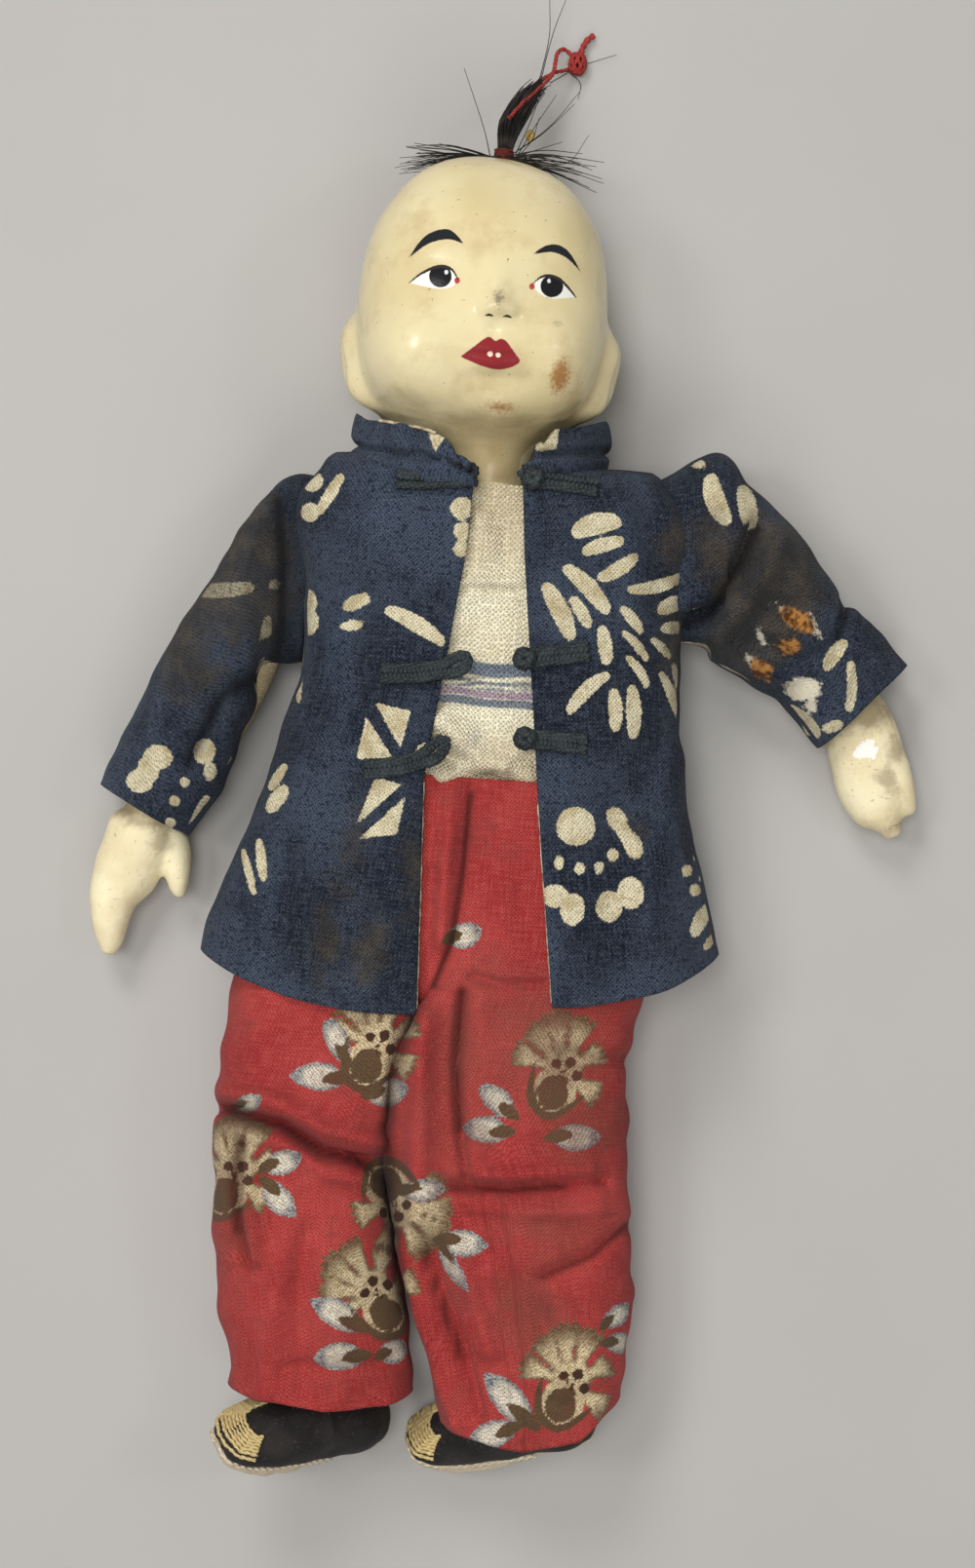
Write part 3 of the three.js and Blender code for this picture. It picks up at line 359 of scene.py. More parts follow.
class Finish:
    """A material's node tree, with short calls for its nodes."""

    def __init__(self, name, roughness, specular):
        self.material = bpy.data.materials.new(name)
        self.material.use_nodes = True
        self.tree = self.material.node_tree
        self.shader = self.tree.nodes["Principled BSDF"]
        self.shader.inputs["Roughness"].default_value = roughness
        self.shader.inputs["Specular IOR Level"].default_value = specular
        self.place = self.object_place()

    def node(self, kind, inputs=(), **settings):
        made = self.tree.nodes.new("ShaderNode" + kind)
        for key, value in settings.items():
            setattr(made, key, value)
        for key, value in dict(inputs).items():
            self.feed(made.inputs[key], value)
        return made

    def feed(self, socket, value):
        if isinstance(value, bpy.types.NodeSocket):
            self.tree.links.new(value, socket)
        else:
            socket.default_value = value

    def math(self, kind, a, b=0.0, c=0.0):
        made = self.node("Math", operation=kind)
        for socket, value in zip(made.inputs, (a, b, c)):
            self.feed(socket, value)
        return made.outputs[0]

    def object_place(self, stretch=(1, 1, 1)):
        place = self.node("TexCoord").outputs["Object"]
        return self.node("Mapping", {"Vector": place, "Scale": stretch}).outputs[0]

    def cloth_place(self, stretch=(1, 1, 1)):
        place = self.node("UVMap", uv_map="cloth").outputs[0]
        return self.node("Mapping", {"Vector": place, "Scale": stretch}).outputs[0]

    def noise(self, scale, detail=3.0, roughness=0.5, place=None):
        place = self.place if place is None else place
        inputs = {"Vector": place, "Scale": scale, "Detail": detail, "Roughness": roughness}
        return self.node("TexNoise", inputs).outputs["Fac"]

    def between(self, value, low, high, to_low=0.0, to_high=1.0):
        made = self.node("MapRange", interpolation_type="SMOOTHSTEP")
        for socket, number in zip(made.inputs, (value, low, high, to_low, to_high)):
            self.feed(socket, number)
        return made.outputs[0]

    def mix(self, share, a, b):
        made = self.node("Mix", data_type="RGBA", clamp_factor=True)
        self.feed(made.inputs["Factor"], share)
        for socket, colour in zip((made.inputs[6], made.inputs[7]), (a, b)):
            self.feed(socket, (*colour, 1) if isinstance(colour, tuple) else colour)
        return made.outputs[2]

    def mottled(self, noise, low, high, light, dark):
        """Two tones in soft blotches, changing where a noise goes from low to high."""
        return self.mix(self.between(noise, low, high), light, dark)

    def tint(self, base, share, strength, paint):
        """A colour with another laid over part of it, at less than full strength."""
        return self.mix(self.math("MULTIPLY", share, strength), base, paint)

    def uneven(self, scale, spread, detail, roughness=0.5):
        """Noise either side of zero, which makes a painted shape's edge ragged."""
        return self.math("MULTIPLY_ADD", self.noise(scale, detail, roughness), spread, -spread / 2)

    def hollows(self, base, weave, high, strength, paint):
        """A cloth's colour with a darker one painted between its threads as shade, up to a height of the
        weave.
        """
        return self.mix(self.between(weave, 0.0, high, strength, 0.0), base, paint)

    def attribute(self, name):
        return self.node("Attribute", attribute_name=name).outputs["Fac"]

    def inside(self, name, soft, ragged=None, shift=0.0):
        """1 inside a painted shape and 0 outside it, with a soft or ragged edge."""
        far = self.attribute(name)
        if ragged is not None:
            far = self.math("ADD", far, ragged)
        return self.between(far, shift + soft, shift - soft)

    def bump(self, height, strength, distance, under=None):
        inputs = {"Strength": strength, "Distance": distance, "Height": height}
        if under is not None:
            inputs["Normal"] = under
        return self.node("Bump", inputs).outputs[0]

    def colour(self, value):
        self.feed(self.shader.inputs["Base Color"], value)

    def surface(self, value):
        self.feed(self.shader.inputs["Normal"], value)

    def soft_nap(self):
        """The faint sheen of worn cotton."""
        self.shader.inputs["Sheen Weight"].default_value = 0.05
        self.shader.inputs["Sheen Roughness"].default_value = 0.5

    def weave(self, pitch):
        """Height of a plain weave on the cloth's own lengths, its threads drifting as hand-spun ones do."""
        parts = self.node("SeparateXYZ", {"Vector": self.cloth_place()})
        turn = math.pi / pitch
        threads = []
        for k, stretch in enumerate(((1.0, 0.25, 1.0), (0.25, 1.0, 1.0))):
            drift = self.math("MULTIPLY", self.noise(0.5 / pitch, 2, place=self.cloth_place(stretch)), 6.0)
            threads.append(self.math("SINE", self.math("MULTIPLY_ADD", parts.outputs[k], turn, drift)))
        return self.math("MULTIPLY_ADD", self.math("MULTIPLY", *threads), 0.5, 0.5)

    def slubs(self, pitch):
        """Uneven dye and thickness along single threads, both ways."""
        warp = self.noise(1.0, 2, place=self.cloth_place((1.0 / pitch, 0.2, 1)))
        weft = self.noise(1.0, 2, place=self.cloth_place((0.2, 1.0 / pitch, 1)))
        return self.math("MULTIPLY", self.math("ADD", warp, weft), 0.5)

    def plies(self, pace):
        """Height of a thread's two plies, which slant round it at a pace along its length."""
        parts = self.node("SeparateXYZ", {"Vector": self.node("UVMap").outputs[0]})
        along = self.math("MULTIPLY", parts.outputs[1], pace)
        slant = self.math("MULTIPLY_ADD", parts.outputs[0], TWO_PLIES, along)
        return self.math("MULTIPLY_ADD", self.math("SINE", slant), 0.5, 0.5)


# Head


def head_lift(y):
    tall = CROWN_Y - JAW_Y
    return HEAD_LIFT * step(JAW_Y - 0.05 * tall, JAW_Y + 0.2 * tall, y)


HEAD_PROFILE = [
    (0, 1), (0.19, 0.996), (0.37, 0.975), (0.55, 0.935), (0.7, 0.875), (0.87, 0.76), (0.96, 0.64),
    (1, 0.5), (1, 0.38), (0.975, 0.26), (0.9, 0.13), (0.8, 0.05), (0.64, -0.01), (0.52, -0.06),
    (0.47, -0.12), (0.47, -0.25),
]


def head_place(u, v):
    closer = v - 0.4 * np.sin(math.tau * (v - 0.5)) / (math.tau)
    radius, level = np.moveaxis(through(HEAD_PROFILE, closer), -1, 0)
    y = JAW_Y + (CROWN_Y - JAW_Y) * level
    turn = math.tau * u + 0.5 * np.sin(math.tau * u)
    share = head_lift(y) / HEAD_LIFT
    deep = 1 + (HEAD_DEPTH / (2 * HEAD_HALF) - 1) * share
    blunt = 2 / (2 + 0.45 * share)
    side, back = blunted(np.sin(turn), blunt), blunted(np.cos(turn), blunt)
    x = HEAD_X - HEAD_HALF * radius * side
    z = NECK_Z + head_lift(y) - HEAD_HALF * radius * deep * back
    return np.stack([x, y, z], -1)


EYES = ((-11.9, 106.1), (12.5, 105.0))


def head_relief(u, v, points):
    """Moulded features: nose, lips, cheeks, eye hollows, chin and ears."""
    x, y = plan(points)
    front = step(30, 42, points[..., 2])
    nose = 2.1 * hump(x, y, (1.2, 101.0), (2.9, 3.1)) * step(95.2, 100.4, y)
    nose += 0.5 * hump(x, y, (1.0, 106.0), (2.6, 4.0))
    wings = 0.55 * (hump(x, y, (-1.7, 99.8), (1.5, 1.4)) + hump(x, y, (4.2, 99.7), (1.5, 1.4)))
    lips = 1.0 * hump(x, y, (0.1, 91.8), (5.6, 2.0)) + 1.0 * hump(x, y, (0.9, 88.8), (4.6, 1.8))
    lips -= 0.5 * hump(x, y, (0.4, 90.4), (3.8, 0.5)) + 0.5 * hump(x, y, (0.6, 95.4), (1.2, 1.8))
    cheeks = 2.5 * (hump(x, y, (-17, 90), (7.5, 8)) + hump(x, y, (15.5, 91.5), (7, 8)))
    chin = 2.0 * hump(x, y, (1.2, 80.6), (9, 4.6)) - 0.7 * hump(x, y, (0.8, 85.2), (7, 1.8))
    chin += 1.4 * (hump(x, y, (-13, 82.5), (8, 4.8)) + hump(x, y, (13.5, 82.5), (8, 4.8)))
    hollows = sum(0.5 * hump(x, y, eye, (4.6, 2.6)) - 1.1 * hump(x, y, eye, (7.5, 5.2)) for eye in EYES)
    face = front * (nose + wings + lips + cheeks + chin + hollows)
    dx, dy, dz = points[..., 0] - HEAD_X, points[..., 1] - 86.5, points[..., 2] - 25.5
    at_side = step(17, 23, np.abs(dx))
    tilt = dy + 0.25 * dz
    shell = np.exp(-((np.abs(tilt) / 9.0) ** 4) - (np.abs(dz) / 6.4) ** 4)
    bowl = np.exp(-(((tilt - 0.5) / 4.5) ** 2) - ((dz - 1.4) / 2.6) ** 2)
    ears = at_side * (4.4 * shell - 2.0 * bowl)
    lumps = 0.12 * wander(x, y, 14, 3)
    return face + ears + lumps


def head_paint(points, u, v):
    """Distances to the painted features, in the view from the front."""
    x, y = plan(points)
    behind = 40 * (1 - step(27, 31, points[..., 2]))
    brows = np.minimum(
        brushed(
            x, y,
            [(-18.7, 109.3), (-15.9, 113.8), (-13.2, 115.7), (-10.5, 116.2), (-8.6, 115.1), (-7, 113.3)],
            [(-18.7, 109.3), (-15.2, 112.4), (-12.1, 113.8), (-9.5, 114), (-7, 113.3)],
        ),
        brushed(
            x, y, [(7.6, 112.0), (9.8, 113.8), (12.2, 114.5), (14.5, 113.8), (16.4, 111.8), (18.3, 108.7)],
            [(7.6, 112), (9.5, 112.5), (11.8, 112.8), (14.1, 112.2), (16, 111), (18.3, 108.7)],
        ),
    )
    left_lid = [(-18.0, 104.3), (-15.9, 106.2), (-13.2, 107.8), (-10.9, 108.3), (-9.0, 107.6), (-7.7, 105.6)]
    right_lid = [(8.0, 105.6), (9.5, 107.2), (11.4, 107.8), (13.7, 107.2), (16.0, 105.2), (17.4, 103.6)]
    left_foot = [(-18.0, 104.3), (-15.5, 103.9), (-11.7, 103.5), (-9.0, 104.1), (-7.7, 105.6)]
    right_foot = [(8.0, 105.6), (9.8, 103.8), (12.5, 103.0), (15.2, 103.3), (17.4, 103.6)]
    eyes = np.minimum(brushed(x, y, left_lid, left_foot), brushed(x, y, right_lid, right_foot))
    iris = np.minimum(oval(x, y, (-11.5, 106.2), (2.4, 2.4)), oval(x, y, (12.2, 105.6), (2.4, 2.35)))
    lids = np.minimum(
        stroke(x, y, left_lid, [0.14, 0.24, 0.34, 0.34, 0.24, 0.12]),
        stroke(x, y, right_lid, [0.12, 0.24, 0.34, 0.32, 0.24, 0.14]),
    )
    corners = np.minimum(oval(x, y, (-7.9, 105.5), (0.6, 0.72)), oval(x, y, (8.0, 105.3), (0.6, 0.7)))
    # Painted reflections of a lamp in the irises.
    painted_reflections = np.minimum(oval(x, y, (-10.3, 107.1), (0.42, 0.5)), oval(x, y, (11.5, 106.7), (0.36, 0.5)))
    nostrils = np.minimum(
        stroke(x, y, [(-1.5, 98.5), (-0.6, 98.7), (0.2, 98.5)], [0.16, 0.3, 0.16]),
        stroke(x, y, [(2.4, 98.5), (3.2, 98.7), (4.0, 98.4)], [0.16, 0.3, 0.16]),
    )
    lip_top = [
        (-6.2, 89.4), (-3.6, 91.6), (-1.2, 93.7), (0, 94), (1, 93.2), (2.1, 93.8), (3.3, 93.4),
        (4.8, 91.6), (6.5, 89.6),
    ]
    lip_foot = [(-6.2, 89.4), (-4.0, 88.6), (-1.3, 87.7), (1.8, 87.2), (4.5, 87.8), (6.2, 88.8), (6.5, 89.6)]
    lips = brushed(x, y, lip_top, lip_foot)
    dots = np.minimum(oval(x, y, (0.1, 90.4), (0.6, 0.6)), oval(x, y, (1.8, 90.3), (0.56, 0.56)))
    rust = np.minimum(oval(x, y, (15.2, 86.8), (1.8, 3.3), -8), oval(x, y, (3.0, 79.3), (3.0, 1.2)) + 0.4)
    # A dark smudge at the nose tip, and a faint grey darkening below the right eye.
    smudge = np.minimum(oval(x, y, (1.1, 102.4), (0.8, 1.2)), oval(x, y, (13.8, 97.8), (1.8, 1.3)) + 1.3)
    # Grime near the lips, and painted shade under the jaw and chin and on the neck below the head.
    grime = np.minimum.reduce([
        oval(x, y, (6.8, 88.4), (1.2, 1.8)) + 1, oval(x, y, (2, 69.5), (16, 7.5)),
        oval(x, y, (18, 78), (6, 2.4), 30) + 1,
        oval(x, y, (-15, 78.5), (6, 2.0), -30) + 1.5, oval(x, y, (-0.5, 83), (6, 2.2)) + 1.5,
    ])
    made = {
        "brow": brows, "eye": eyes, "iris": np.maximum(iris, eyes - 0.25), "lid": lids, "corner": corners,
        "glint": painted_reflections, "lips": lips, "nostril": nostrils, "lip_dots": dots, "rust": rust,
        "smudge": smudge, "grime": grime,
    }
    return {key: far + behind for key, far in made.items()}


def painted_composition():
    """Cream paint on moulded composition, worn and soiled, with painted shade under the jaw and on the neck,
    and the face painted on it.
    """
    made = Finish("painted_composition", 0.2, 0.5)
    cream = made.mottled(made.noise(55, 4), 0.35, 0.68, (0.745, 0.635, 0.365), (0.65, 0.53, 0.28))
    cream = made.mix(made.between(made.noise(24, 2), 0.45, 0.65, 0.0, 0.5), cream, (0.80, 0.70, 0.43))
    veil = made.between(made.noise(95, 5, 0.65), 0.46, 0.76)
    cream = made.tint(cream, veil, 0.5, (0.48, 0.34, 0.16))
    cloudy = made.uneven(170, 9.0, 5, 0.65)
    # Grime with painted shade under the jaw and on the neck.
    cream = made.tint(cream, made.inside("grime", 3.5, cloudy), 0.62, (0.32, 0.215, 0.085))
    specks = made.between(made.noise(1000, 2), 0.72, 0.77)
    cream = made.tint(cream, specks, 0.75, (0.16, 0.11, 0.06))
    crumbly = made.uneven(1500, 5.0, 5, 0.75)
    cream = made.tint(cream, made.inside("rust", 1.1, crumbly), 0.9, (0.34, 0.135, 0.028))
    # Grey marks at the nose tip and below the right eye.
    cream = made.tint(cream, made.inside("smudge", 0.9, crumbly), 0.8, (0.13, 0.105, 0.085))
    # The pale dots in the irises are painted reflections of a lamp.
    layers = (
        ("brow", 0.1, (0.014, 0.015, 0.018)), ("lips", 0.12, (0.26, 0.02, 0.024)),
        ("lip_dots", 0.1, (0.9, 0.72, 0.55)), ("eye", 0.1, (0.88, 0.85, 0.76)),
        ("corner", 0.15, (0.45, 0.05, 0.05)), ("iris", 0.1, (0.008, 0.008, 0.009)),
        ("lid", 0.1, (0.03, 0.022, 0.018)), ("glint", 0.08, (0.75, 0.76, 0.78)),
        ("nostril", 0.08, (0.05, 0.035, 0.02)),
    )
    worn = made.uneven(2500, 0.24, 2)
    for name, soft, paint in layers:
        cream = made.mix(made.inside(name, soft, worn), cream, paint)
    made.colour(cream)
    rough = made.between(made.noise(200, 3), 0.3, 0.7, 0.15, 0.25)
    made.feed(made.shader.inputs["Roughness"], rough)
    dents = made.bump(made.noise(160, 4), 0.2, 0.0006)
    made.surface(made.bump(made.noise(1500, 2), 0.12, 0.0002, dents))
    return made.material


def make_head():
    paint = painted_composition()
    head = formed_sheet("head_shell", 300, 300, head_place, paint, head_relief, True, head_paint)
    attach(head, "head")
    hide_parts("head")


# Cloth forms


class Form:
    """A rounded upright tube about a leaning line, from rows of level, half width, low and high."""

    def __init__(self, rows, centre, square):
        rows = np.array(sorted(rows))
        self.levels, self.halves, self.lows, self.highs = rows.T
        self.centres = np.array(centre if np.ndim(centre) else [(-200, centre), (200, centre)], float)
        self.square = square

    def size(self, y):
        low = smooth(self.levels, self.lows, y)
        high = smooth(self.levels, self.highs, y)
        middle = np.interp(y, self.centres[:, 0], self.centres[:, 1])
        return middle, smooth(self.levels, self.halves, y), (low + high) / 2, (high - low) / 2

    def at(self, turn, y):
        """Point at a turn from +X towards +Z."""
        middle, half, height, deep = self.size(y)
        x = middle + half * blunted(np.cos(turn), 2 / self.square)
        z = height + deep * blunted(np.sin(turn), 2 / self.square)
        return np.stack(np.broadcast_arrays(x, y, np.maximum(z, 0.0)), -1)

    def turn_of_x(self, x, y):
        middle, half, _, _ = self.size(y)
        share = np.clip((x - middle) / half, -1, 1)
        return np.arccos(blunted(share, self.square / 2))

    def turn_of_z(self, z, y, left):
        _, _, height, deep = self.size(y)
        share = np.clip((z - height) / deep, -1, 1)
        turn = np.arcsin(blunted(share, self.square / 2))
        return turn if left else math.pi - turn

    def top(self, x, y):
        """Height of the front above a place."""
        middle, half, height, deep = self.size(y)
        share = np.clip(np.abs(x - middle) / half, 0, 0.995)
        return height + deep * (1 - share**self.square) ** (1 / self.square)


def panel(form, start, end, top, hem):
    """Place function of a panel on a form, between two turns and from its top to its hem line."""

    def place(u, v):
        levels = np.linspace(-56, top, 60)
        table = []
        for y in levels:
            turns = np.linspace(start(y), end(y), 160)
            line = form.at(turns, np.full(160, y))
            run = run_along(line)
            table.append(np.interp(u[0] * run[-1], run, turns))
        table = np.array(table)
        foot = form.at(table[10], np.full(u.shape[1], levels[10]))
        y = top + v * (hem(foot[:, 0])[None, :] - top)
        turn = np.stack([np.interp(y[:, k], levels, table[:, k]) for k in range(u.shape[1])], 1)
        return form.at(turn, y)

    return place


def nearest(x, y, shapes):
    """Distance to the nearest of a list of shapes."""
    return np.minimum.reduce([shape(x, y, *numbers) for shape, *numbers in shapes])


def wedge(x, y, a, b, c):
    """About the distance to a three-cornered patch, below zero inside it."""
    sides = []
    turn = np.sign((b[0] - a[0]) * (c[1] - a[1]) - (b[1] - a[1]) * (c[0] - a[0]))
    for p, q in ((a, b), (b, c), (c, a)):
        dx, dy = q[0] - p[0], q[1] - p[1]
        sides.append(turn * ((x - p[0]) * dy - (y - p[1]) * dx) / math.hypot(dx, dy))
    return np.maximum.reduce(sides) - 0.25


# Jacket

JACKET = Form(
    [
        (67.2, 33.5, 14, 29), (65.8, 35, 11, 35), (63.5, 36.5, 7, 38), (57.5, 40.7, 1.5, 39.5),
        (40, 40.3, -0.5, 40.5), (18, 40.2, -0.5, 41), (0, 43.6, -0.5, 41), (-20, 50, -0.5, 41),
        (-38, 55, -0.5, 40.5), (-56, 56.5, -0.5, 40),
    ],
    [(-60, 2.5), (0, 3.4), (18, 4.8), (45, 4.2), (67, 2.5)],
    2.6,
)
JACKET_TOP = 67.0
JACKET_THICKNESS = 0.8
SIDE_SEAM_Z = 17.0
FRONT_EDGES = {
    "right": np.array([(-56, -5.7), (0, -7.6), (47, -1.9), (68, -1.1)]),
    "left": np.array([(-56, 23.4), (0, 15.8), (47, 10.0), (68, 8.2)]),
}


def front_edge(side, y):
    edge = FRONT_EDGES[side]
    return np.interp(y, edge[:, 0], edge[:, 1])


HEM = np.array([
    (-61, -32), (-51, -39.4), (-39.9, -44.7), (-27.3, -47.9), (-13.3, -49), (18.3, -46), (33.1, -43.9),
    (45.9, -39.8), (56.7, -33.4), (66, -25),
])

RIGHT_FRONT_MOTIFS = [
    (bean, (-12, 31.8), 14.6, 3.6, -27, 0.6), (oval, (-25, 35.9), (2.7, 1.5), 28),
    (oval, (-23.2, 36.8), (1.3, 1.4)), (oval, (-25.3, 31.1), (2.6, 1.1), 12),
    (oval, (-35.6, 35.3), (2.6, 2.9)), (oval, (-34.7, 31.2), (2.3, 2.9)),
    (bean, (-35.9, 20.2), 12.5, 1.6, 94), (oval, (-35.7, 61), (2.3, 2.2)),
    (oval, (-35.7, 54.4), (2, 2)), (bean, (-31.8, 58.5), 10, 2.6, 62), (oval, (-3.7, 57.4), (2.5, 2.4)),
    (oval, (-3.2, 52.6), (2, 1.9)), (oval, (-3.2, 48.8), (1.8, 1.7)),
    (wedge, (-18.9, 14.7), (-12, 13.6), (-13.4, 6.3)), (wedge, (-20.9, 11.3), (-14.8, 3.2), (-22.2, 3.2)),
    (oval, (-7.8, 4.9), (2.3, 2.3)), (wedge, (-18.1, -0.9), (-13.1, -2), (-21.1, -10.3)),
    (wedge, (-12, -5.1), (-13.1, -12.2), (-20.3, -13.7)), (bean, (-38.9, -2), 6.4, 2.1, 60),
    (bean, (-38.7, -6.7), 6.8, 3.4, 58), (bean, (-41.2, -19.8), 9, 2.3, -80),
    (bean, (-43.7, -22.5), 10, 1.8, -72), (bean, (-49.4, -22), 6.4, 1.4, 70),
]
LEFT_FRONT_MOTIFS = [
    (bean, (25, 55.2), 10.8, 4.8, 18, 0.8), (bean, (26.7, 51.3), 9.2, 3.3, 20, 0.3),
    (bean, (30, 47.1), 9.8, 3.3, 35, -0.5), (bean, (38.3, 44.4), 12.4, 2.9, 18, -0.9),
    (bean, (23.7, 41.9), 13.8, 3.9, -43, 0.7), (bean, (18.1, 36.9), 13.4, 4.2, -60, 0.4),
    (bean, (22.8, 37.1), 7.6, 2.9, -56, 0.2), (bean, (28.3, 30.4), 8.4, 3.2, -78, 0.2),
    (bean, (42.2, 39.7), 6.8, 3.6, 25, 0.3), (bean, (42.8, 34.9), 5.6, 2.8, 5, 0.2),
    (bean, (33.7, 36.1), 7.2, 2.5, -48, 0.3), (bean, (34.8, 30.6), 8.2, 2, -46, 0.5),
    (bean, (35.6, 25.2), 8.2, 2.1, -52, 0.6), (bean, (40.3, 30.6), 5.8, 1.9, -42, 0.2),
    (bean, (42.8, 20.8), 10.6, 2.1, -65, 0.4), (bean, (44.1, 24), 7.2, 1.7, -75, 0.2),
    (bean, (25.6, 20), 12.2, 3.2, 48, 0.8), (bean, (31.3, 16.9), 9.2, 3.2, -83, 0.3),
    (bean, (35.2, 16.7), 11.4, 3.4, -85, 0.3), (oval, (24.8, -8.3), (4.1, 4.1)),
    (oval, (33.4, -6.3), (2, 2.8), 35), (oval, (37.2, -11.5), (1.9, 3), 25),
    (bean, (35.2, -8.9), 11, 3.2, -57), (oval, (21.8, -16.2), (1, 1.5)),
    (oval, (26.3, -17.1), (1.1, 1.3)), (oval, (30.3, -16.7), (1, 1.3)), (oval, (33, -13.8), (1.2, 1.4)),
    (oval, (21.4, -23.3), (3, 2.4)), (oval, (25.3, -25.9), (2.6, 3.4)), (oval, (33, -24.8), (2.8, 3.3)),
    (oval, (37.4, -21.6), (2.8, 3.4), 12), (oval, (51.1, -12.9), (1.1, 1.3)),
    (oval, (48.9, -16.1), (1.1, 1.3)), (oval, (52.6, -17.3), (1, 1.1)), (oval, (50.9, -20.1), (1.2, 1.3)),
    (bean, (52.8, -26.4), 7.8, 3.2, 65, 0.3), (bean, (55.2, -30.3), 5.4, 1.8, 55),
]
FRONT_SOIL = {
    "right": [
        (oval, (-17, -37), (3.2, 6)), (oval, (-26.5, -36), (2.6, 7)), (oval, (-9.5, -18), (2, 6)),
        (oval, (-22, -16), (1.6, 5)),
    ],
    "left": [(oval, (46, 52), (7, 8)), (oval, (45, 33), (4, 7)), (oval, (39, -9), (1.4, 1.6))],
}


def scattered_motifs(seed, count, low, high):
    """Leaves and dots strewn over the parts of the cloth that the photograph doesn't show."""
    rng = np.random.default_rng(seed)
    shapes = []
    for k in range(count):
        place = (rng.uniform(low[0], high[0]), rng.uniform(low[1], high[1]))
        if k % 4 == 3:
            size = rng.uniform(1.0, 2.6)
            shapes.append((oval, place, (size, size * rng.uniform(0.9, 1.2))))
        else:
            sizes = rng.uniform(6, 12), rng.uniform(2, 4), rng.uniform(-90, 90), rng.uniform(-0.6, 0.6)
            shapes.append((leaf, place, *sizes))
    return shapes


def indigo_cloth():
    """Hand-woven cotton dyed indigo, the pattern left pale by resist, worn and soiled."""
    made = Finish("indigo_cloth", 0.95, 0.08)
    weave = made.weave(0.42)
    slubs = made.slubs(0.42)
    faded = made.between(made.noise(32, 4, 0.6), 0.4, 0.64)
    indigo = made.mix(faded, (0.014, 0.018, 0.029), (0.052, 0.068, 0.1))
    streaks = made.between(made.noise(110, 3, place=made.object_place((1, 0.22, 1))), 0.5, 0.68, 0.0, 0.42)
    indigo = made.mix(streaks, indigo, (0.068, 0.094, 0.138))
    indigo = made.mix(made.between(slubs, 0.42, 0.62, 0.0, 0.5), indigo, (0.074, 0.09, 0.118))
    flecks = made.noise(1300, 2)
    indigo = made.mix(made.between(flecks, 0.5, 0.3, 0.0, 0.7), indigo, (0.006, 0.007, 0.012))
    # Painted shade between the threads.
    indigo = made.hollows(indigo, weave, 0.6, 0.85, (0.005, 0.006, 0.010))
    lint = made.between(made.noise(2600, 2), 0.62, 0.74)
    indigo = made.tint(indigo, lint, 0.55, (0.16, 0.17, 0.18))
    pale = made.mottled(made.noise(240, 4), 0.4, 0.68, (0.70, 0.63, 0.43), (0.52, 0.43, 0.25))
    pale = made.mix(made.between(flecks, 0.5, 0.3, 0.0, 0.55), pale, (0.30, 0.24, 0.14))
    # Painted shade between the threads of the pale pattern.
    pale = made.hollows(pale, weave, 0.55, 0.75, (0.17, 0.135, 0.08))
    ragged = made.uneven(1500, 0.9, 2)
    cloth = made.mix(made.inside("motif", 0.16, ragged), indigo, pale)
    patchy = made.uneven(180, 14.0, 5, 0.65)
    grains = made.between(made.noise(1300, 4, 0.7), 0.4, 0.62, 0.55, 1.0)
    soil = made.math("MULTIPLY", made.inside("soil", 3.5, patchy), made.math("MULTIPLY", grains, 0.85))
    soiled = made.mottled(made.noise(160, 4), 0.38, 0.66, (0.044, 0.038, 0.03), (0.09, 0.071, 0.047))
    # Painted shade between the threads of the soiled cloth.
    soiled = made.hollows(soiled, weave, 0.6, 0.7, (0.012, 0.01, 0.008))
    cloth = made.mix(soil, cloth, soiled)
    rusty = made.uneven(700, 4.0, 4, 0.7)
    worn = made.inside("worn", 0.4, rusty)
    cloth = made.mix(worn, cloth, made.mix(made.noise(500, 2), (0.74, 0.70, 0.58), (0.5, 0.42, 0.28)))
    rust = made.inside("rust", 0.5, rusty)
    burnt = made.mottled(made.noise(600, 3), 0.38, 0.62, (0.09, 0.032, 0.008), (0.44, 0.2, 0.055))
    cloth = made.mix(rust, cloth, burnt)
    # Painted shade in the folds, near black.
    cloth = made.tint(cloth, made.attribute("groove"), 0.8, (0.004, 0.004, 0.005))
    made.colour(cloth)
    made.soft_nap()
    threads = made.bump(weave, 0.7, 0.00025)
    nap = made.bump(made.noise(900, 3), 0.3, 0.0003, threads)
    made.surface(nap)
    return made.material


NOWHERE = 50.0


def steepness(points, closed):
    """1 where a surface stands upright and 0 where it faces up or down."""
    return 1 - step(0.2, 0.36, np.abs(lattice_normals(points, closed)[..., 2]))


def indigo_fields(motifs, soil=(), rust=(), worn=(), grooves=(), closed=False):
    """Fields of a piece of the jacket: its pattern, stains and painted shade in its folds, seen from the
    front.

    Upright sides have leaves of their own, so the pattern isn't drawn out down them.
    """
    side_motifs = scattered_motifs(33, 22, (0, -50), (38, 66))

    def fields(points, u, v):
        x, y = plan(points)
        far = np.full(x.shape, NOWHERE)
        made = {}
        for key, shapes in (("motif", motifs), ("soil", soil), ("rust", rust), ("worn", worn)):
            made[key] = np.minimum(far, nearest(x, y, shapes)) if shapes else far
        steep = steepness(points, closed)
        aside = nearest(points[..., 2], y, side_motifs) + NOWHERE * (1 - steep)
        made["motif"] = np.minimum(made["motif"] + NOWHERE * steep, aside)
        # Painted shade along the folds, where the cloth stands high.
        made["groove"] = shade_along_folds(x, y, grooves) * step(8, 16, points[..., 2])
        return made

    return fields


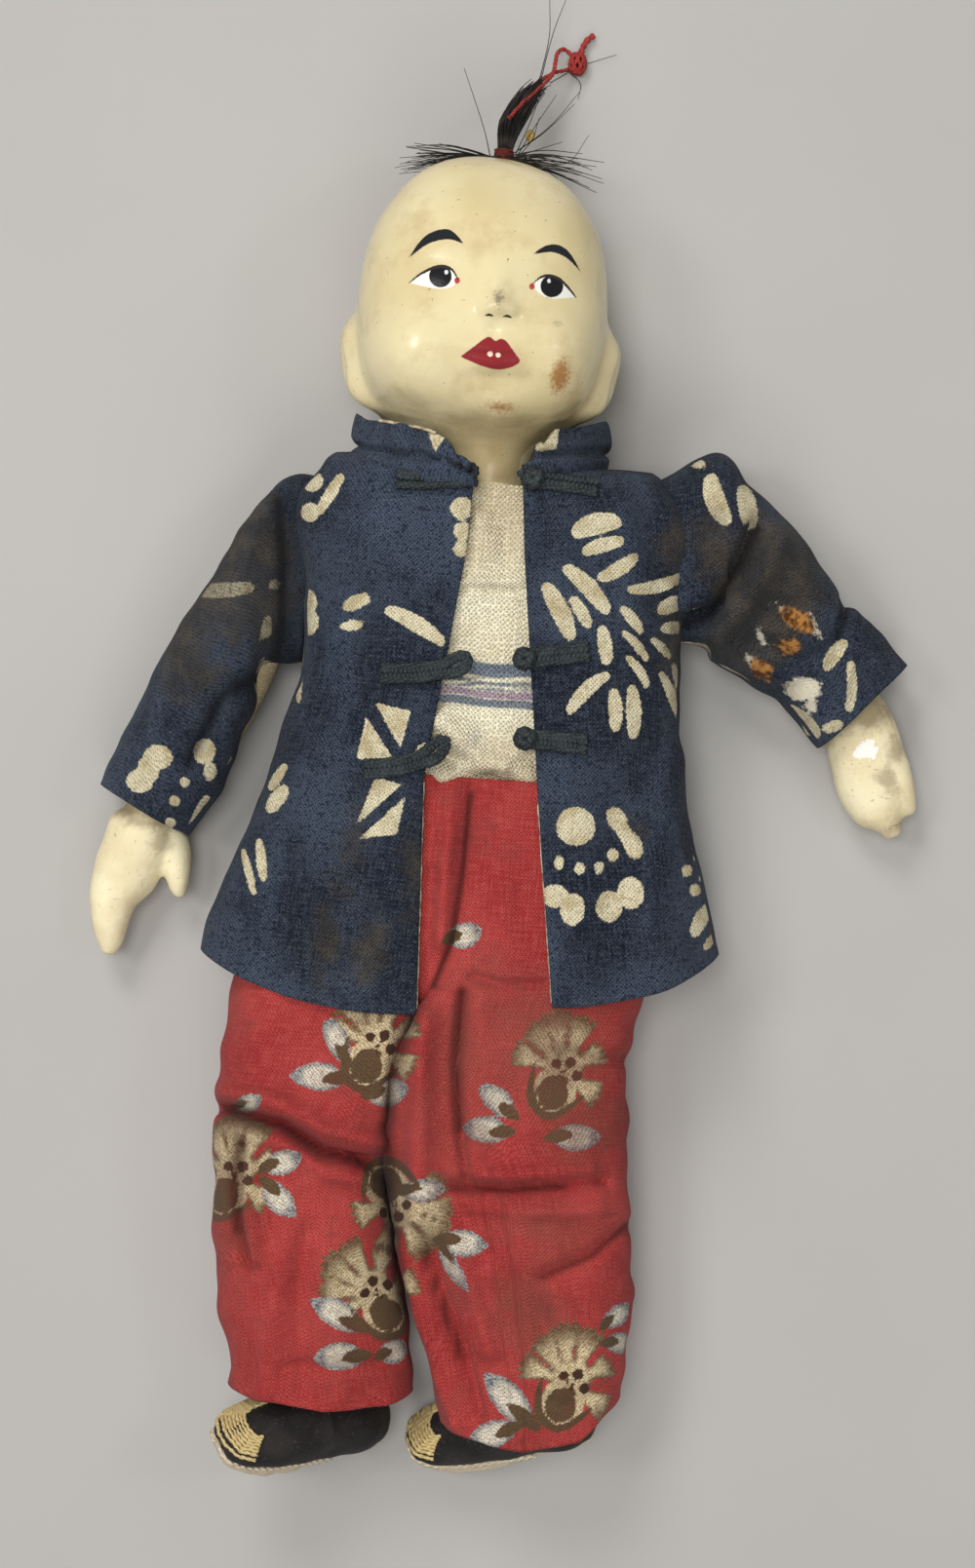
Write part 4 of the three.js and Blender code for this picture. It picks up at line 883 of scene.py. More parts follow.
def front_relief(side):
    folds = {
        "right": [
            ([(-30, 40), (-22, 22), (-24, -8)], 5, -0.8), ([(-38, 12), (-30, 2), (-26, -30)], 6, 0.8),
            ([(-14, -14), (-15, -34), (-17, -50)], 4.5, 0.9), ([(-33, -20), (-38, -46)], 4, -0.8),
            ([(-36, 58), (-26, 50), (-14, 46)], 4, 0.5),
        ],
        "left": [
            ([(34, 60), (38, 48), (39, 30)], 4, -0.8), ([(30, 62), (32, 50)], 2.5, 0.7),
            ([(40, 12), (33, -8), (33, -46)], 5, -0.9), ([(44, 6), (41, -20), (44, -42)], 4.5, 0.9),
            ([(22, 8), (27, -20), (28, -46)], 5, 0.5),
        ],
    }[side]

    def relief(u, v, points):
        x, y, z = np.moveaxis(points, -1, 0)
        near = np.abs(x - front_edge(side, y))
        lift = -1.7 * np.exp(-near / 6.0) * (1 - step(-20, 10, y)) - 0.6 * np.exp(-near / 3.0)
        lift += 1.3 * folded(x, y, folds)
        swell = 0.3 + 0.7 * (1 - step(-50, -5, y))
        lift += swell * wander(x + 0.6 * z, y, 19, 11) * 0.55 + 0.14 * wander(x, y, 6, 12)
        return lift

    return relief


def make_jacket(cloth):
    def seam_turn(left):
        return lambda y: JACKET.turn_of_z(max(SIDE_SEAM_Z, JACKET.size(y)[2] - 2), y, left)

    def edge_turn(side):
        return lambda y: JACKET.turn_of_x(front_edge(side, y), y)

    def hem(x):
        return smooth(HEM[:, 0], HEM[:, 1], x)

    made = []
    for side, motifs, columns in (("right", RIGHT_FRONT_MOTIFS, 110), ("left", LEFT_FRONT_MOTIFS, 100)):
        place = panel(JACKET, seam_turn(side == "left"), edge_turn(side), JACKET_TOP, hem)
        fields = indigo_fields(motifs, FRONT_SOIL[side])
        piece = formed_sheet(
            "jacket_front_" + side + "_cloth", columns, 170, place, cloth, front_relief(side), fields=fields
        )
        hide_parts("jacket_front_" + side)
        made.append(piece)
    back = panel(JACKET, lambda y: seam_turn(False)(y) - math.tau, seam_turn(True), JACKET_TOP, hem)
    strewn = indigo_fields(scattered_motifs(21, 60, (-58, -50), (62, 66)))

    def back_fields(points, u, v):
        made = strewn(points, u, v)
        made["motif"] += NOWHERE * step(7, 11, points[..., 2])
        return made

    def back_relief(u, v, points):
        x, y, z = np.moveaxis(points, -1, 0)
        return 0.25 * wander(x, y, 16, 13) * step(2, 9, z)

    piece = formed_sheet("jacket_back_cloth", 140, 130, back, cloth, back_relief, fields=back_fields)
    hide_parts("jacket_back")
    made.append(piece)
    for piece in made:
        declare_cloth(piece)
        thicken(piece, JACKET_THICKNESS)
        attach(piece, "trunk")


# Sleeves

ARMS = {
    "right": {
        "pivot": (-38.8, 47),
        "outer": [(3.5, 16), (0, 16), (-11, 5), (-27, -25), (-39, -52.8)],
        "inner": [(3.5, -24), (-1, -25), (-7, -36), (-11, -50), (-19, -62.6)],
        "heights": [20, 26, 32, 28, 20.5],
    },
    "left": {
        "pivot": (43.8, 47),
        "outer": [(-8, 18.5), (0, 23.6), (13, 19.5), (31, 2), (50, -16)],
        "inner": [(-8, -15), (0, -15), (8, -18.5), (18, -23), (32.6, -34.7)],
        "heights": [27, 30.5, 32.5, 28, 20.5],
    },
}
SLEEVE_STEPS = (0.0, 0.05, 0.25, 0.6, 1.0)
SLEEVE_BLUNT = 0.8
SLEEVE_MARKS = {
    "right": {
        "motifs": [
            (stroke, [(-58.6, 36.2), (-53, 36.7), (-47.4, 37.6)], [1.3, 1.6, 1.2]),
            (oval, (-42.3, 38.6), (1.4, 1.1)), (bean, (-43.4, 25.7), 12.4, 2.6, 88),
            (oval, (-64.5, 0.5), (3.2, 2.6)), (oval, (-68, -4.8), (2.9, 2.5)),
            (oval, (-66.3, -2.2), (2.2, 2.8), 30), (oval, (-54.7, 2.3), (2.3, 2.7)),
            (oval, (-53.2, -1.8), (1.4, 2)), (oval, (-58.5, -4.4), (1.1, 1)),
            (oval, (-60.3, -8.5), (1.2, 1.2)), (oval, (-60.9, -13.2), (1.1, 1.1)),
            (bean, (-54.8, -10.9), 8.4, 3.4, 68, -0.3), (bean, (-74.5, 2.3), 5.4, 1.4, 70),
        ],
        "soil": [(oval, (-52, 45), (13, 20), 20), (oval, (-60, 24), (6, 12), 15)],
        # Paths and widths of painted shade along the folds.
        "grooves": [
            ([(-42.6, 56), (-41, 44), (-40.2, 30), (-41.5, 16)], 1.5),
            ([(-43, 20), (-52, 14), (-58, 0)], 1.6),
        ],
    },
    "left": {
        "motifs": [
            (bean, (50.5, 62.9), 11.6, 4.6, -66, -0.8), (bean, (56.4, 61.5), 9.6, 4.2, -75, 0.3),
            (oval, (44.5, 70.6), (2.8, 1.2), -20),
            (stroke, [(80.7, 29.6), (81.3, 25), (81, 20.6)], [0.9, 1.1, 0.9]),
            (bean, (77.3, 31.5), 7.8, 3.2, 58, 0.3), (bean, (71.4, 17), 9.4, 3.2, -40, 0.4),
            (oval, (77.7, 16.4), (2.3, 1.2), 20),
        ],
        "soil": [
            (oval, (63, 47), (11, 15), -20), (oval, (60, 34), (10, 7), 20), (oval, (52, 50), (5, 9), 30),
        ],
        "rust": [
            (oval, (69, 38.4), (4.2, 1.9), -28), (oval, (67.3, 32.7), (2.3, 1.5)),
            (oval, (61.8, 27.5), (1.8, 2.6), 40),
        ],
        "worn": [
            (oval, (70.9, 24), (3.6, 2.5)), (oval, (72.8, 20.6), (1.3, 1.6)),
            (oval, (72.6, 37), (0.7, 1.9), 30), (oval, (59.6, 28.9), (0.7, 1.4), 40),
            (oval, (61.2, 34.6), (0.6, 1.5), 40), (oval, (66.6, 40.2), (2.2, 0.5), -24),
        ],
        # Paths and widths of painted shade along the folds.
        "grooves": [
            ([(45.5, 36), (50, 38), (53, 44), (57, 51), (59, 57)], 1.3),
            ([(78.5, 50), (79.5, 42), (77.5, 35)], 0.7),
        ],
    },
}


def sleeve_place(side):
    arm = ARMS[side]

    def place(u, v):
        pivot = np.array(arm["pivot"])
        outer, inner = (
            np.stack([smooth(SLEEVE_STEPS, reach, v) for reach in np.transpose(arm[edge])], -1) + pivot
            for edge in ("outer", "inner")
        )
        low = smooth([0, 0.08, 0.5, 1], [6.0, 3.5, 1.0, 0.2], v)
        high = smooth([0, 0.06, 0.15, 0.5, 1], arm["heights"], v)
        turn = math.tau * u - math.pi / 2
        c, s = blunted(np.cos(turn), SLEEVE_BLUNT), blunted(np.sin(turn), SLEEVE_BLUNT)
        flat = (outer + inner) / 2 + c[..., None] * (outer - inner) / 2
        z = (low + high) / 2 + s * (high - low) / 2
        return np.concatenate([flat, z[..., None]], -1)

    return place


def sleeve_relief(side):
    folds = {
        "right": [
            ([(-44, 55), (-56, 42), (-62, 20)], 4.5, -0.7), ([(-43, 20), (-52, 14), (-58, 0)], 3, -1.2),
            ([(-42, 30), (-50, 22), (-60, 20)], 3.2, 1), ([(-50, -2), (-58, 4), (-68, 6)], 2.6, -0.7),
            ([(-46, 44), (-50, 36)], 3, -0.8),
        ],
        "left": [
            ([(45.5, 36), (50, 38), (53, 44), (57, 51), (59, 57)], 1.9, -4),
            ([(52, 35), (57, 41), (61, 49), (63, 55)], 2.8, 1.8), ([(48, 48), (53, 58)], 2.5, 0.9),
            ([(78.5, 50), (79.5, 42), (77.5, 35)], 1, -1.5), ([(60, 33), (70, 29), (78, 33)], 2, -1.2),
            ([(62, 37), (72, 34)], 2.4, 0.8), ([(66, 22), (76, 27), (80, 33)], 1.8, -0.9),
            ([(83, 38), (80, 28), (79, 18)], 1.2, 0.6),
        ],
    }[side]

    def relief(u, v, points):
        x, y = plan(points)
        upper = step(6, 14, points[..., 2])
        lift = 1.3 * upper * folded(x, y, folds)
        return lift + step(1, 5, points[..., 2]) * (0.5 * wander(x, y, 12, 31) + 0.15 * wander(x, y, 4.5, 32))

    return relief


def make_sleeves(cloth):
    for side, marks in SLEEVE_MARKS.items():
        seen = indigo_fields(**marks, closed=True)

        def fields(points, u, v, seen=seen):
            made = seen(points, u, v)
            under = 20 * (1 - step(7, 11, points[..., 2]))
            return {key: far + under * (key in ("soil", "rust", "worn")) for key, far in made.items()}

        piece = formed_sheet(
            "sleeve_" + side + "_cloth", 130, 110, sleeve_place(side), cloth, sleeve_relief(side), True,
            fields,
        )
        declare_cloth(piece)
        thicken(piece, JACKET_THICKNESS)
        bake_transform(piece)
        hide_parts("sleeve_" + side)


# Collar

COLLAR_THICKNESS = 1.6


def collar_place(u, v):
    """Up the band from its sewn foot, and round the neck from one front end to the other."""
    first = math.radians(90) + math.radians(10) * v
    last = math.tau + math.radians(72) - math.radians(15) * v
    turn = first + (last - first) * u
    front = np.maximum(0, np.sin(turn))
    foot = 64.3 - (4.4 - 2.4 * u) * front
    tall = (12.2 - 0.6 * front - 1.4 * step(0.05, -0.3, np.sin(turn))) * (1 - 0.45 * np.exp(-u * 150 / 3.0))
    tall = tall * (1 - 0.14 * step(0.88, 1.0, u))
    bulge = 1.3 * np.sin(math.pi * v) ** 0.7 - 1.8 * np.exp(-(((v - 0.47) / 0.08) ** 2))
    roll = bulge + 1.4 * v * front + 0.6 * v**2 * step(0.84, 0.96, u)
    deep = np.where(np.sin(turn) > 0, 17.8, 20.5)
    x = -0.5 + (26.3 + roll) * np.cos(turn)
    z = NECK_Z + (deep + roll) * np.sin(turn)
    return np.stack([x, foot + tall * v + 0.035 * x, z], -1)


def make_collar(cloth):
    def relief(u, v, points):
        x, y, z = np.moveaxis(points, -1, 0)
        return 0.35 * wander(x + z, y, 7, 41) * (0.4 + v)

    patch = [
        (wedge, (-12, 73.8), (-7.8, 73.6), (-10.2, 69.4)),
        (wedge, (15.6, 77.4), (15.2, 71.4), (10.4, 70.6)),
    ]
    piece = formed_sheet("collar_band", 220, 34, collar_place, cloth, relief, fields=indigo_fields(patch))
    declare_cloth(piece)
    thicken(piece, COLLAR_THICKNESS)
    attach(piece, "trunk")
    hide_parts("collar")


# Undershirt

UNDERSHIRT = Form(
    [
        (61, 14.6, 9, 36.2), (59.4, 19, 9.3, 35.9), (57.4, 26, 8.5, 35.6), (54.5, 29, 6, 36),
        (51.5, 31, 4, 36.5), (18, 31, 4, 37.5), (5, 32, 4, 38), (0, 32, 4, 36.2), (-12, 32, 4, 32.5),
    ],
    [(-70, -2.7), (0, 2.5), (80, 2.5)],
    2.6,
)

# Woven stripes: each colour darker in the hollows as painted shade and lighter on the raised threads as
# painted light
STRIPES = {
    "navy": ((0.03, 0.045, 0.085), (0.12, 0.16, 0.22)),
    "lilac": ((0.13, 0.085, 0.125), (0.36, 0.25, 0.34)),
}


def muslin_cloth():
    """Open, uneven hand-spun muslin, yellowed, with woven stripes."""
    made = Finish("muslin_cloth", 0.95, 0.1)
    weave = made.weave(0.55)
    slubs = made.slubs(0.55)
    cream = made.mottled(made.noise(70, 4), 0.35, 0.7, (0.90, 0.84, 0.62), (0.80, 0.70, 0.47))
    tan = made.between(made.attribute("level"), 30, 60)
    cream = made.tint(cream, tan, 0.75, (0.50, 0.40, 0.235))
    # Darker towards the lower edge.
    darker_low = made.between(made.attribute("level"), 15, 5, 0.0, 0.55)
    cream = made.mix(darker_low, cream, (0.50, 0.41, 0.26))
    ragged = made.uneven(1400, 0.5, 2)
    cloudy = made.uneven(500, 3.0, 4)
    cream = made.tint(cream, made.inside("stain", 1.2, cloudy), 0.5, (0.16, 0.21, 0.27))
    cream = made.mix(made.between(slubs, 0.45, 0.65, 0.0, 0.5), cream, (0.9, 0.85, 0.68))
    # Painted shade between the threads.
    cream = made.hollows(cream, weave, 0.55, 0.8, (0.34, 0.27, 0.165))
    # Stripe colours follow the weave's height: painted shade in the hollows, painted light on the raised
    # threads.
    raised = made.between(weave, 0.0, 0.6)
    for name, (low, high) in STRIPES.items():
        cream = made.tint(cream, made.inside(name, 0.3, ragged), 0.88, made.mix(raised, low, high))
    made.colour(cream)
    made.surface(made.bump(weave, 0.9, 0.0004))
    return made.material


def make_undershirt(cloth):
    def place(u, v):
        turn = math.tau * u - math.pi / 2
        top = 61.2 + 0.8 * np.cos(turn) + 0.4 * np.sin(9 * turn) * np.cos(4 * turn)
        return UNDERSHIRT.at(turn, top + (-12 - top) * v)

    def relief(u, v, points):
        x, y = plan(points)
        front = step(20, 30, points[..., 2])
        folds = [
            ([(-6, 12), (2, 6), (14, 2)], 2, 1.2), ([(-6, 6), (4, 0), (10, -4)], 1.8, -1.2),
            ([(-4, 1), (8, 4), (15, 10)], 1.6, 1), ([(2, 14), (6, 8), (6, 0)], 1.6, -0.9),
            ([(-6, 40), (10, 41)], 0.7, -0.7), ([(-6, 41.6), (10, 42.4)], 0.9, 0.6),
            ([(0, 60), (3, 48), (2, 42)], 2, 0.7), ([(5, 58), (6, 46)], 1.6, -0.6),
            ([(-6, 16), (12, 17)], 0.8, -0.6),
        ]
        return front * (1.6 * folded(x, y, folds) + 0.4 * wander(x, y, 7, 51)) * (1 - step(54, 59, y))

    def fields(points, u, v):
        x, y = plan(points)
        wave = 0.35 * wander(x, y, 9, 52)
        bands = ((23.6, 1.5), (20.7, 0.45), (19.4, 0.3), (16.6, 0.85))
        navy = np.minimum.reduce([np.abs(y + wave - level) - half for level, half in bands])
        stain = np.minimum(oval(x, y, (1.6, 8), (1.0, 2.6), -30), np.abs(y + wave - 24) - 1.0)
        return {"navy": navy, "lilac": np.abs(y + wave - 18.3) - 0.75, "stain": stain, "level": y}

    piece = formed_sheet("undershirt_cloth", 200, 110, place, cloth, relief, True, fields)
    declare_cloth(piece)
    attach(piece, "trunk")
    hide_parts("undershirt", "torso")


# Trousers

HALVES = {
    "right": {
        "left": [
            (0, -34.5), (-20, -38), (-43, -45.5), (-70, -47.2), (-94, -46.4), (-114, -44.2), (-133, -41),
        ],
        "right": [
            (0, 3.4), (-34, 1.8), (-46, -3), (-57, -8.6), (-75, -10.2), (-92, -9.6), (-107, -6.4),
            (-121, -3.4), (-133, -2),
        ],
        "hem": [(-47, -130.5), (-41, -131), (-20, -133.2), (-7, -131.6), (0, -129.6)],
    },
    "left": {
        "left": [
            (0, -2), (-34, -4), (-46, -8), (-57, -13), (-75, -13.6), (-86, -10.6), (-99, -6), (-111, -3),
            (-120, 0.2), (-140, 4.6),
        ],
        "right": [
            (0, 39.5), (-20, 40), (-43, 42), (-58, 38.8), (-76, 40.2), (-98, 42.6), (-114, 44),
            (-124, 43.6), (-140, 42),
        ],
        "hem": [(0, -135.5), (6, -137), (22, -139.2), (34, -136.6), (42, -128.5), (48, -124)],
    },
}


def trouser_place(side):
    half = HALVES[side]
    outer_left = side == "right"

    def place(u, v):
        turns = np.linspace(0, math.tau, 721)

        def section(turn, y):
            c, s = np.cos(turn), np.sin(turn)
            inner = c > 0 if outer_left else c < 0
            squarer = 2.6 + 5.5 * step(-86, -58, y)
            square = np.where(inner, squarer, 2.55)
            return blunted(c, 2 / square), blunted(s, 2 / square)

        cx, cz = section(turns - math.pi / 2, np.full(721, -75.0))
        run = run_along(np.column_stack([cx * 22, cz * 18]))
        turn = np.interp(u[0] * run[-1], run, turns) - math.pi / 2
        nominal = -137.0
        y = np.broadcast_to(0.5 + v * (nominal - 0.5), u.shape)
        edges = (np.array(sorted(half[edge])) for edge in ("left", "right"))
        left, right = (smooth(edge[:, 0], edge[:, 1], y) for edge in edges)
        x_share, z_share = section(np.broadcast_to(turn, u.shape), y)
        x = (left + right) / 2 + x_share * (right - left) / 2
        hem = np.array(half["hem"])
        foot = np.interp(x, hem[:, 0], hem[:, 1])
        y = np.where(y < -100, -100 + (y + 100) * (foot + 100) / (nominal + 100), y)
        low = np.interp(y, [-140, -112, -70, 0], [0.3, 0.2, 0.3, 2.0])
        high = np.interp(y, [-140, -118, -98, -70, -43, 0], [29.5, 33.5, 36.5, 37.8, 36.8, 37.4])
        z = (low + high) / 2 + z_share * (high - low) / 2
        return np.stack([x, y, z], -1)

    return place


TROUSER_FOLDS = {
    "right": [
        ([(-46, -73), (-40, -74.6), (-33, -75.8), (-24, -81), (-14, -82.4)], 1.5, -2.8),
        ([(-44, -69), (-34, -70.6), (-24, -75.4), (-14, -77)], 2.6, 1.7),
        ([(-40, -78), (-32, -79.4), (-23, -85), (-15, -86)], 2.2, 0.9),
        ([(-42, -80), (-42.5, -88), (-41, -98), (-39, -106)], 1.5, -2.4),
        ([(-38.5, -82), (-39, -92), (-36.5, -104)], 2, 1),
        ([(-26, -98), (-27, -112), (-25, -132)], 3, -0.8), ([(-32, -104), (-33, -132)], 3, 0.8),
        ([(-20, -108), (-17, -132)], 3, 0.7), ([(-12, -50), (-13, -62), (-12, -72)], 2, 0.6),
        ([(-30, -128), (-16, -126), (-6, -124)], 2, -0.7), ([(-34, -50), (-32, -66)], 4, -0.6),
        ([(-2, -2), (-2.4, -20), (-2.6, -34)], 2.6, 1.2), ([(-6, -48), (-4.5, -40), (-5, -20)], 2, -0.8),
    ],
    "left": [
        ([(-4.5, -50), (-4.6, -62), (-3.4, -78), (-1.5, -92)], 3.6, 2.2),
        ([(3.2, -45), (2.8, -60), (4.6, -74), (6.5, -84)], 1.3, -1.7),
        ([(7.5, -46), (8, -66), (9, -78)], 3, 0.6),
        ([(-2, -98), (2, -108), (8, -122), (12, -134)], 1.8, -1.8),
        ([(-4.5, -98), (-1.5, -108), (4, -124), (8, -136)], 2.2, 1.4),
        ([(4, -96), (9, -108), (14, -120)], 2.6, 1.1),
        ([(4, -86.5), (16, -86), (27, -84.6), (36, -83)], 1.6, -1.3),
        ([(6, -83), (18, -82.4), (32, -80)], 2.2, 1), ([(8, -90), (20, -90.5), (34, -89)], 2.4, 0.8),
        ([(41, -92), (34, -99), (24, -104)], 2, -0.8), ([(12, -100), (24, -112), (32, -126)], 3.2, -0.6),
        ([(5, -41.5), (12, -42.8), (20, -42)], 1.1, -0.8), ([(12, -4), (10, -24), (12, -40)], 4, 0.6),
        ([(40, -56), (34, -58), (26, -57)], 2, -0.8), ([(20, -128), (30, -132), (40, -126)], 2.4, -0.6),
    ],
}


def trouser_relief(side):
    def relief(u, v, points):
        x, y = plan(points)
        z = points[..., 2]
        front = step(12, 22, z)
        lift = front * folded(x, y, TROUSER_FOLDS[side], 0.8)
        loose = step(3, 12, z)
        hidden = 1 - 0.8 * step(-50, -30, y)
        back = (1 - front) * loose * 0.7 * wander(y * 1.6, z, 14, 63)
        lift = 1.95 * lift * (1 - 0.6 * step(-14, -4, y))
        covered = np.maximum(step(-9, -13, points[..., 0]), step(19, 24, points[..., 0]))
        lift -= 2.0 * front * covered * step(-41, -35, y)
        if side == "left":
            edge = np.array(sorted(HALVES["left"]["left"]))
            past_edge = points[..., 0] - smooth(edge[:, 0], edge[:, 1], points[..., 1])
            lift -= 2.2 * step(7, 1, past_edge) * front * step(-84, -70, y)
        rumple = 0.55 * wander(x, y * 1.4, 13, 61) + 0.18 * wander(x, y, 5, 62)
        return lift + loose * hidden * rumple + back

    return relief


# Each print leaf: middle, length, width and turn of a pale leaf, its olive foot at the end named by the sign
PRINT_LEAVES = [
    (-22.9, -56.9, 10.4, 4.2, -62, 1), (-25.9, -65, 11.6, 5.2, 0, 1), (-11.4, -66.9, 8.4, 5.4, 12, -1),
    (2.7, -32.7, 7.2, 4.8, 20, -1), (11.9, -67.4, 9.4, 4.6, -40, 1), (10.2, -73.9, 9.4, 5, -3, 1),
    (29.1, -73.9, 10, 5, 4, -1), (-40.5, -71.2, 5.4, 3.4, 25, -1), (-32.6, -83.3, 8, 4.6, 22, -1),
    (-32.6, -91.1, 9.4, 4.8, -46, -1), (-18.7, -115, 12, 5.2, -26, 1), (-17.6, -123.9, 10.2, 5.2, 6, 1),
    (-6.4, -121.7, 6.4, 4.4, 25, -1), (-2.6, -87.2, 9.4, 4.2, 8, -1), (6.9, -97.8, 9.6, 5, -5, -1),
    (5.2, -103.3, 11, 2.8, -55, -1), (18.6, -130.6, 14, 5.6, -45, 1), (15.8, -138.3, 10.4, 5, 22, 1),
    (40.2, -111.1, 7, 3.6, 45, -1), (41.6, -116.7, 6.6, 4, 8, -1),
]
# Each blossom: where its petals meet, and its turn from upright
PRINT_BLOSSOMS = [
    (31.5, -126, 0), (25.5, -60, 0), (-14.2, -57, 0), (-42.4, -86.5, -5), (-11.2, -109.6, 52),
    (-7.6, -91, -130),
]
# A petal's edge in shares of its length and width
PETAL_EDGE = [
    (0, -0.18), (0.45, -0.26), (0.78, -0.47), (0.93, -0.5), (1, -0.36), (0.87, -0.22), (1.06, -0.08),
    (0.9, 0.05), (1.03, 0.19), (0.86, 0.29), (0.96, 0.45), (0.82, 0.49), (0.45, 0.26), (0, 0.18),
]


def petal(x, y, foot, tip, width):
    """Distance to a fan-shaped petal with a serrated end."""
    along = np.subtract(tip, foot)
    across = np.array([-along[1], along[0]]) * width / np.hypot(*along)
    return outline(x, y, [foot + a * along + b * across for a, b in PETAL_EDGE])


# A blossom's petals with foot, tip and width, and their meeting place
PETALS = [
    (petal, (-1.5, 0.3), (-11.2, 3.3), 5.8), (petal, (-1.2, 1), (-7.4, 9.6), 6.2),
    (petal, (-0.4, 1.2), (-2.2, 13), 6.2), (petal, (0.8, 1.2), (4, 12), 6),
    (petal, (1.5, 0.6), (8.6, 4.8), 5.4), (petal, (1, -1.4), (8.4, -5.2), 6.4),
    (oval, (0.2, 1.2), (4.4, 3.8)),
]
CALYX = [
    (
        stroke,
        [(-6, 1.1), (-6.6, -3.5), (-5.9, -7.6), (-2.8, -9.9), (0.4, -8.9), (2.8, -7), (4.8, -5.2)],
        [0.35, 0.75, 0.9, 0.85, 0.7, 0.6, 0.25],
    ),
    (oval, (-1.8, -5.1), (3.3, 3.5)), (bean, (-1.2, -2.2), 5, 2.2, 0),
]
STAMENS = [
    (oval, (-1.5, 1.3), (1.15, 1)), (oval, (1.5, 1.8), (1.15, 1.2)), (oval, (3, -1), (1.1, 1.2)),
    (stroke, [(-1, 0.6), (-0.2, -0.6), (0.2, -2)], [0.22, 0.22, 0.2]),
    (stroke, [(1, 0.8), (0.5, -0.6), (0.2, -2)], [0.22, 0.22, 0.2]),
]
BLOSSOM_REACH = 17
PRINT_COLOURS = ("leaf", "tip", "petal", "bloom", "cup", "olive", "dark")


def print_fields(x, y):
    """Distances to each colour of the trousers' printed flowers."""
    made = {key: np.full(x.shape, NOWHERE) for key in PRINT_COLOURS}

    def add(key, far, where=...):
        made[key][where] = np.minimum(made[key][where], far)

    for px, py, length, width, turn, foot in PRINT_LEAVES:
        c, s = foot * np.array(heading(turn))
        length, width = 1.12 * length, 1.15 * width
        add("leaf", leaf(x, y, (px, py), length, width, turn, 0.25 * foot))
        base = (px + 0.32 * length * c, py + 0.32 * length * s)
        end = (px - 0.45 * length * c, py - 0.45 * length * s)
        add("olive", leaf(x, y, base, 0.62 * length, 0.5 * width, turn + 8, 0.2))
        add("tip", oval(x, y, end, (0.2 * length, 0.4 * width), turn))
    for px, py, turn in PRINT_BLOSSOMS:
        near = np.hypot(x - px, y - py) < BLOSSOM_REACH
        a, b = (place[near] for place in turned(x, y, (px, py), turn))
        add("petal", nearest(a, b, PETALS), near)
        add("bloom", np.hypot(a, b), near)
        add("cup", oval(a, b, (-1.4, -4.4), (4.6, 5.2)), near)
        add("olive", nearest(a, b, CALYX), near)
        add("dark", nearest(a, b, STAMENS), near)
    return made


FOLD_ROUNDS = 160
SIDE_SLOPE = 0.45


def eased(points, rounds):
    """Rows of points round a tube, averaged with their neighbours until the folds are gone."""
    ring = points[:, :-1]
    for _ in range(rounds):
        ring = (np.roll(ring, 1, axis=1) + 2 * ring + np.roll(ring, -1, axis=1)) / 4
        rows = np.concatenate([ring[:1], ring, ring[-1:]])
        ring = (rows[:-2] + 2 * rows[1:-1] + rows[2:]) / 4
    return np.concatenate([ring, ring[:, :1]], axis=1)


def over_the_sides(points, x):
    """The print's place across a tube of cloth, and which of its points are on an upright side.

    It is the place seen from above, and goes on down the sides without a break.
    """
    unfolded = eased(points, FOLD_ROUNDS)
    steep = np.abs(lattice_normals(unfolded, True)[..., 2]) < SIDE_SLOPE
    wide, tall = unfolded[..., 0], unfolded[..., 2]
    middle = (wide.max(axis=1, keepdims=True) + wide.min(axis=1, keepdims=True)) / 2
    rows = np.arange(len(points))
    across = x
    for sign in (-1, 1):
        flank = steep & (sign * (wide - middle) > 0)
        met = flank.any(axis=1)
        edge = np.where(flank, tall, -np.inf).argmax(axis=1)
        edge_x = np.interp(rows, rows[met], x[rows, edge][met])[:, None]
        edge_z = np.interp(rows, rows[met], tall[rows, edge][met])[:, None]
        across = np.where(flank, edge_x + sign * (edge_z - tall), across)
    return across, steep


TROUSER_SOIL = [
    (oval, (21, -50), (13, 6), -8), (oval, (25, -58), (8, 8)), (oval, (14, -60), (5, 8)),
    (oval, (24, -94), (7, 5)), (oval, (-42, -92), (3, 10)), (oval, (22, -112), (7, 7)),
    (oval, (30, -72), (8, 7)), (oval, (4, -60), (4, 12)),
]
# Paths and widths of painted shade in the folds and in the valley between the legs.
TROUSER_SHADED_FOLDS = [
    ([(-46, -73), (-33, -75.8), (-24, -81), (-14, -82.4)], 1.4),
    ([(-42, -80), (-42.5, -88), (-41, -98)], 1.4), ([(41, -92), (34, -99), (24, -104)], 0.7),
    ([(3.2, -45), (2.8, -60), (4.6, -74)], 0.8), ([(-2, -98), (2, -108), (8, -122)], 1),
    ([(2.2, -3), (1.4, -20), (0.2, -34), (-3, -44)], 0.8), ([(4, -86.5), (16, -86), (27, -84.6)], 0.8),
    ([(-6.5, -48), (-9, -56), (-10.6, -66), (-11, -76), (-9.8, -88), (-7, -100), (-5, -112)], 1.7),
]
TROUSER_THICKNESS = 0.7
BACK_Z = 16.0


def trouser_fields(points, u, v):
    """The print on a trouser half, set over on its unseen back, with soil and painted shade in the folds."""
    x, y = plan(points)
    behind = points[..., 2] < BACK_Z
    across, steep = over_the_sides(points, x)
    under = behind & ~steep
    made = print_fields(np.where(under, 4.0 - x, across), y + np.where(under, 9.0, 0.0))
    made["soil"] = nearest(x, y, TROUSER_SOIL) + 30 * behind
    # Painted shade along the folds and between the legs, where the cloth stands high.
    made["groove"] = shade_along_folds(x, y, TROUSER_SHADED_FOLDS) * step(14, 24, points[..., 2])
    return made


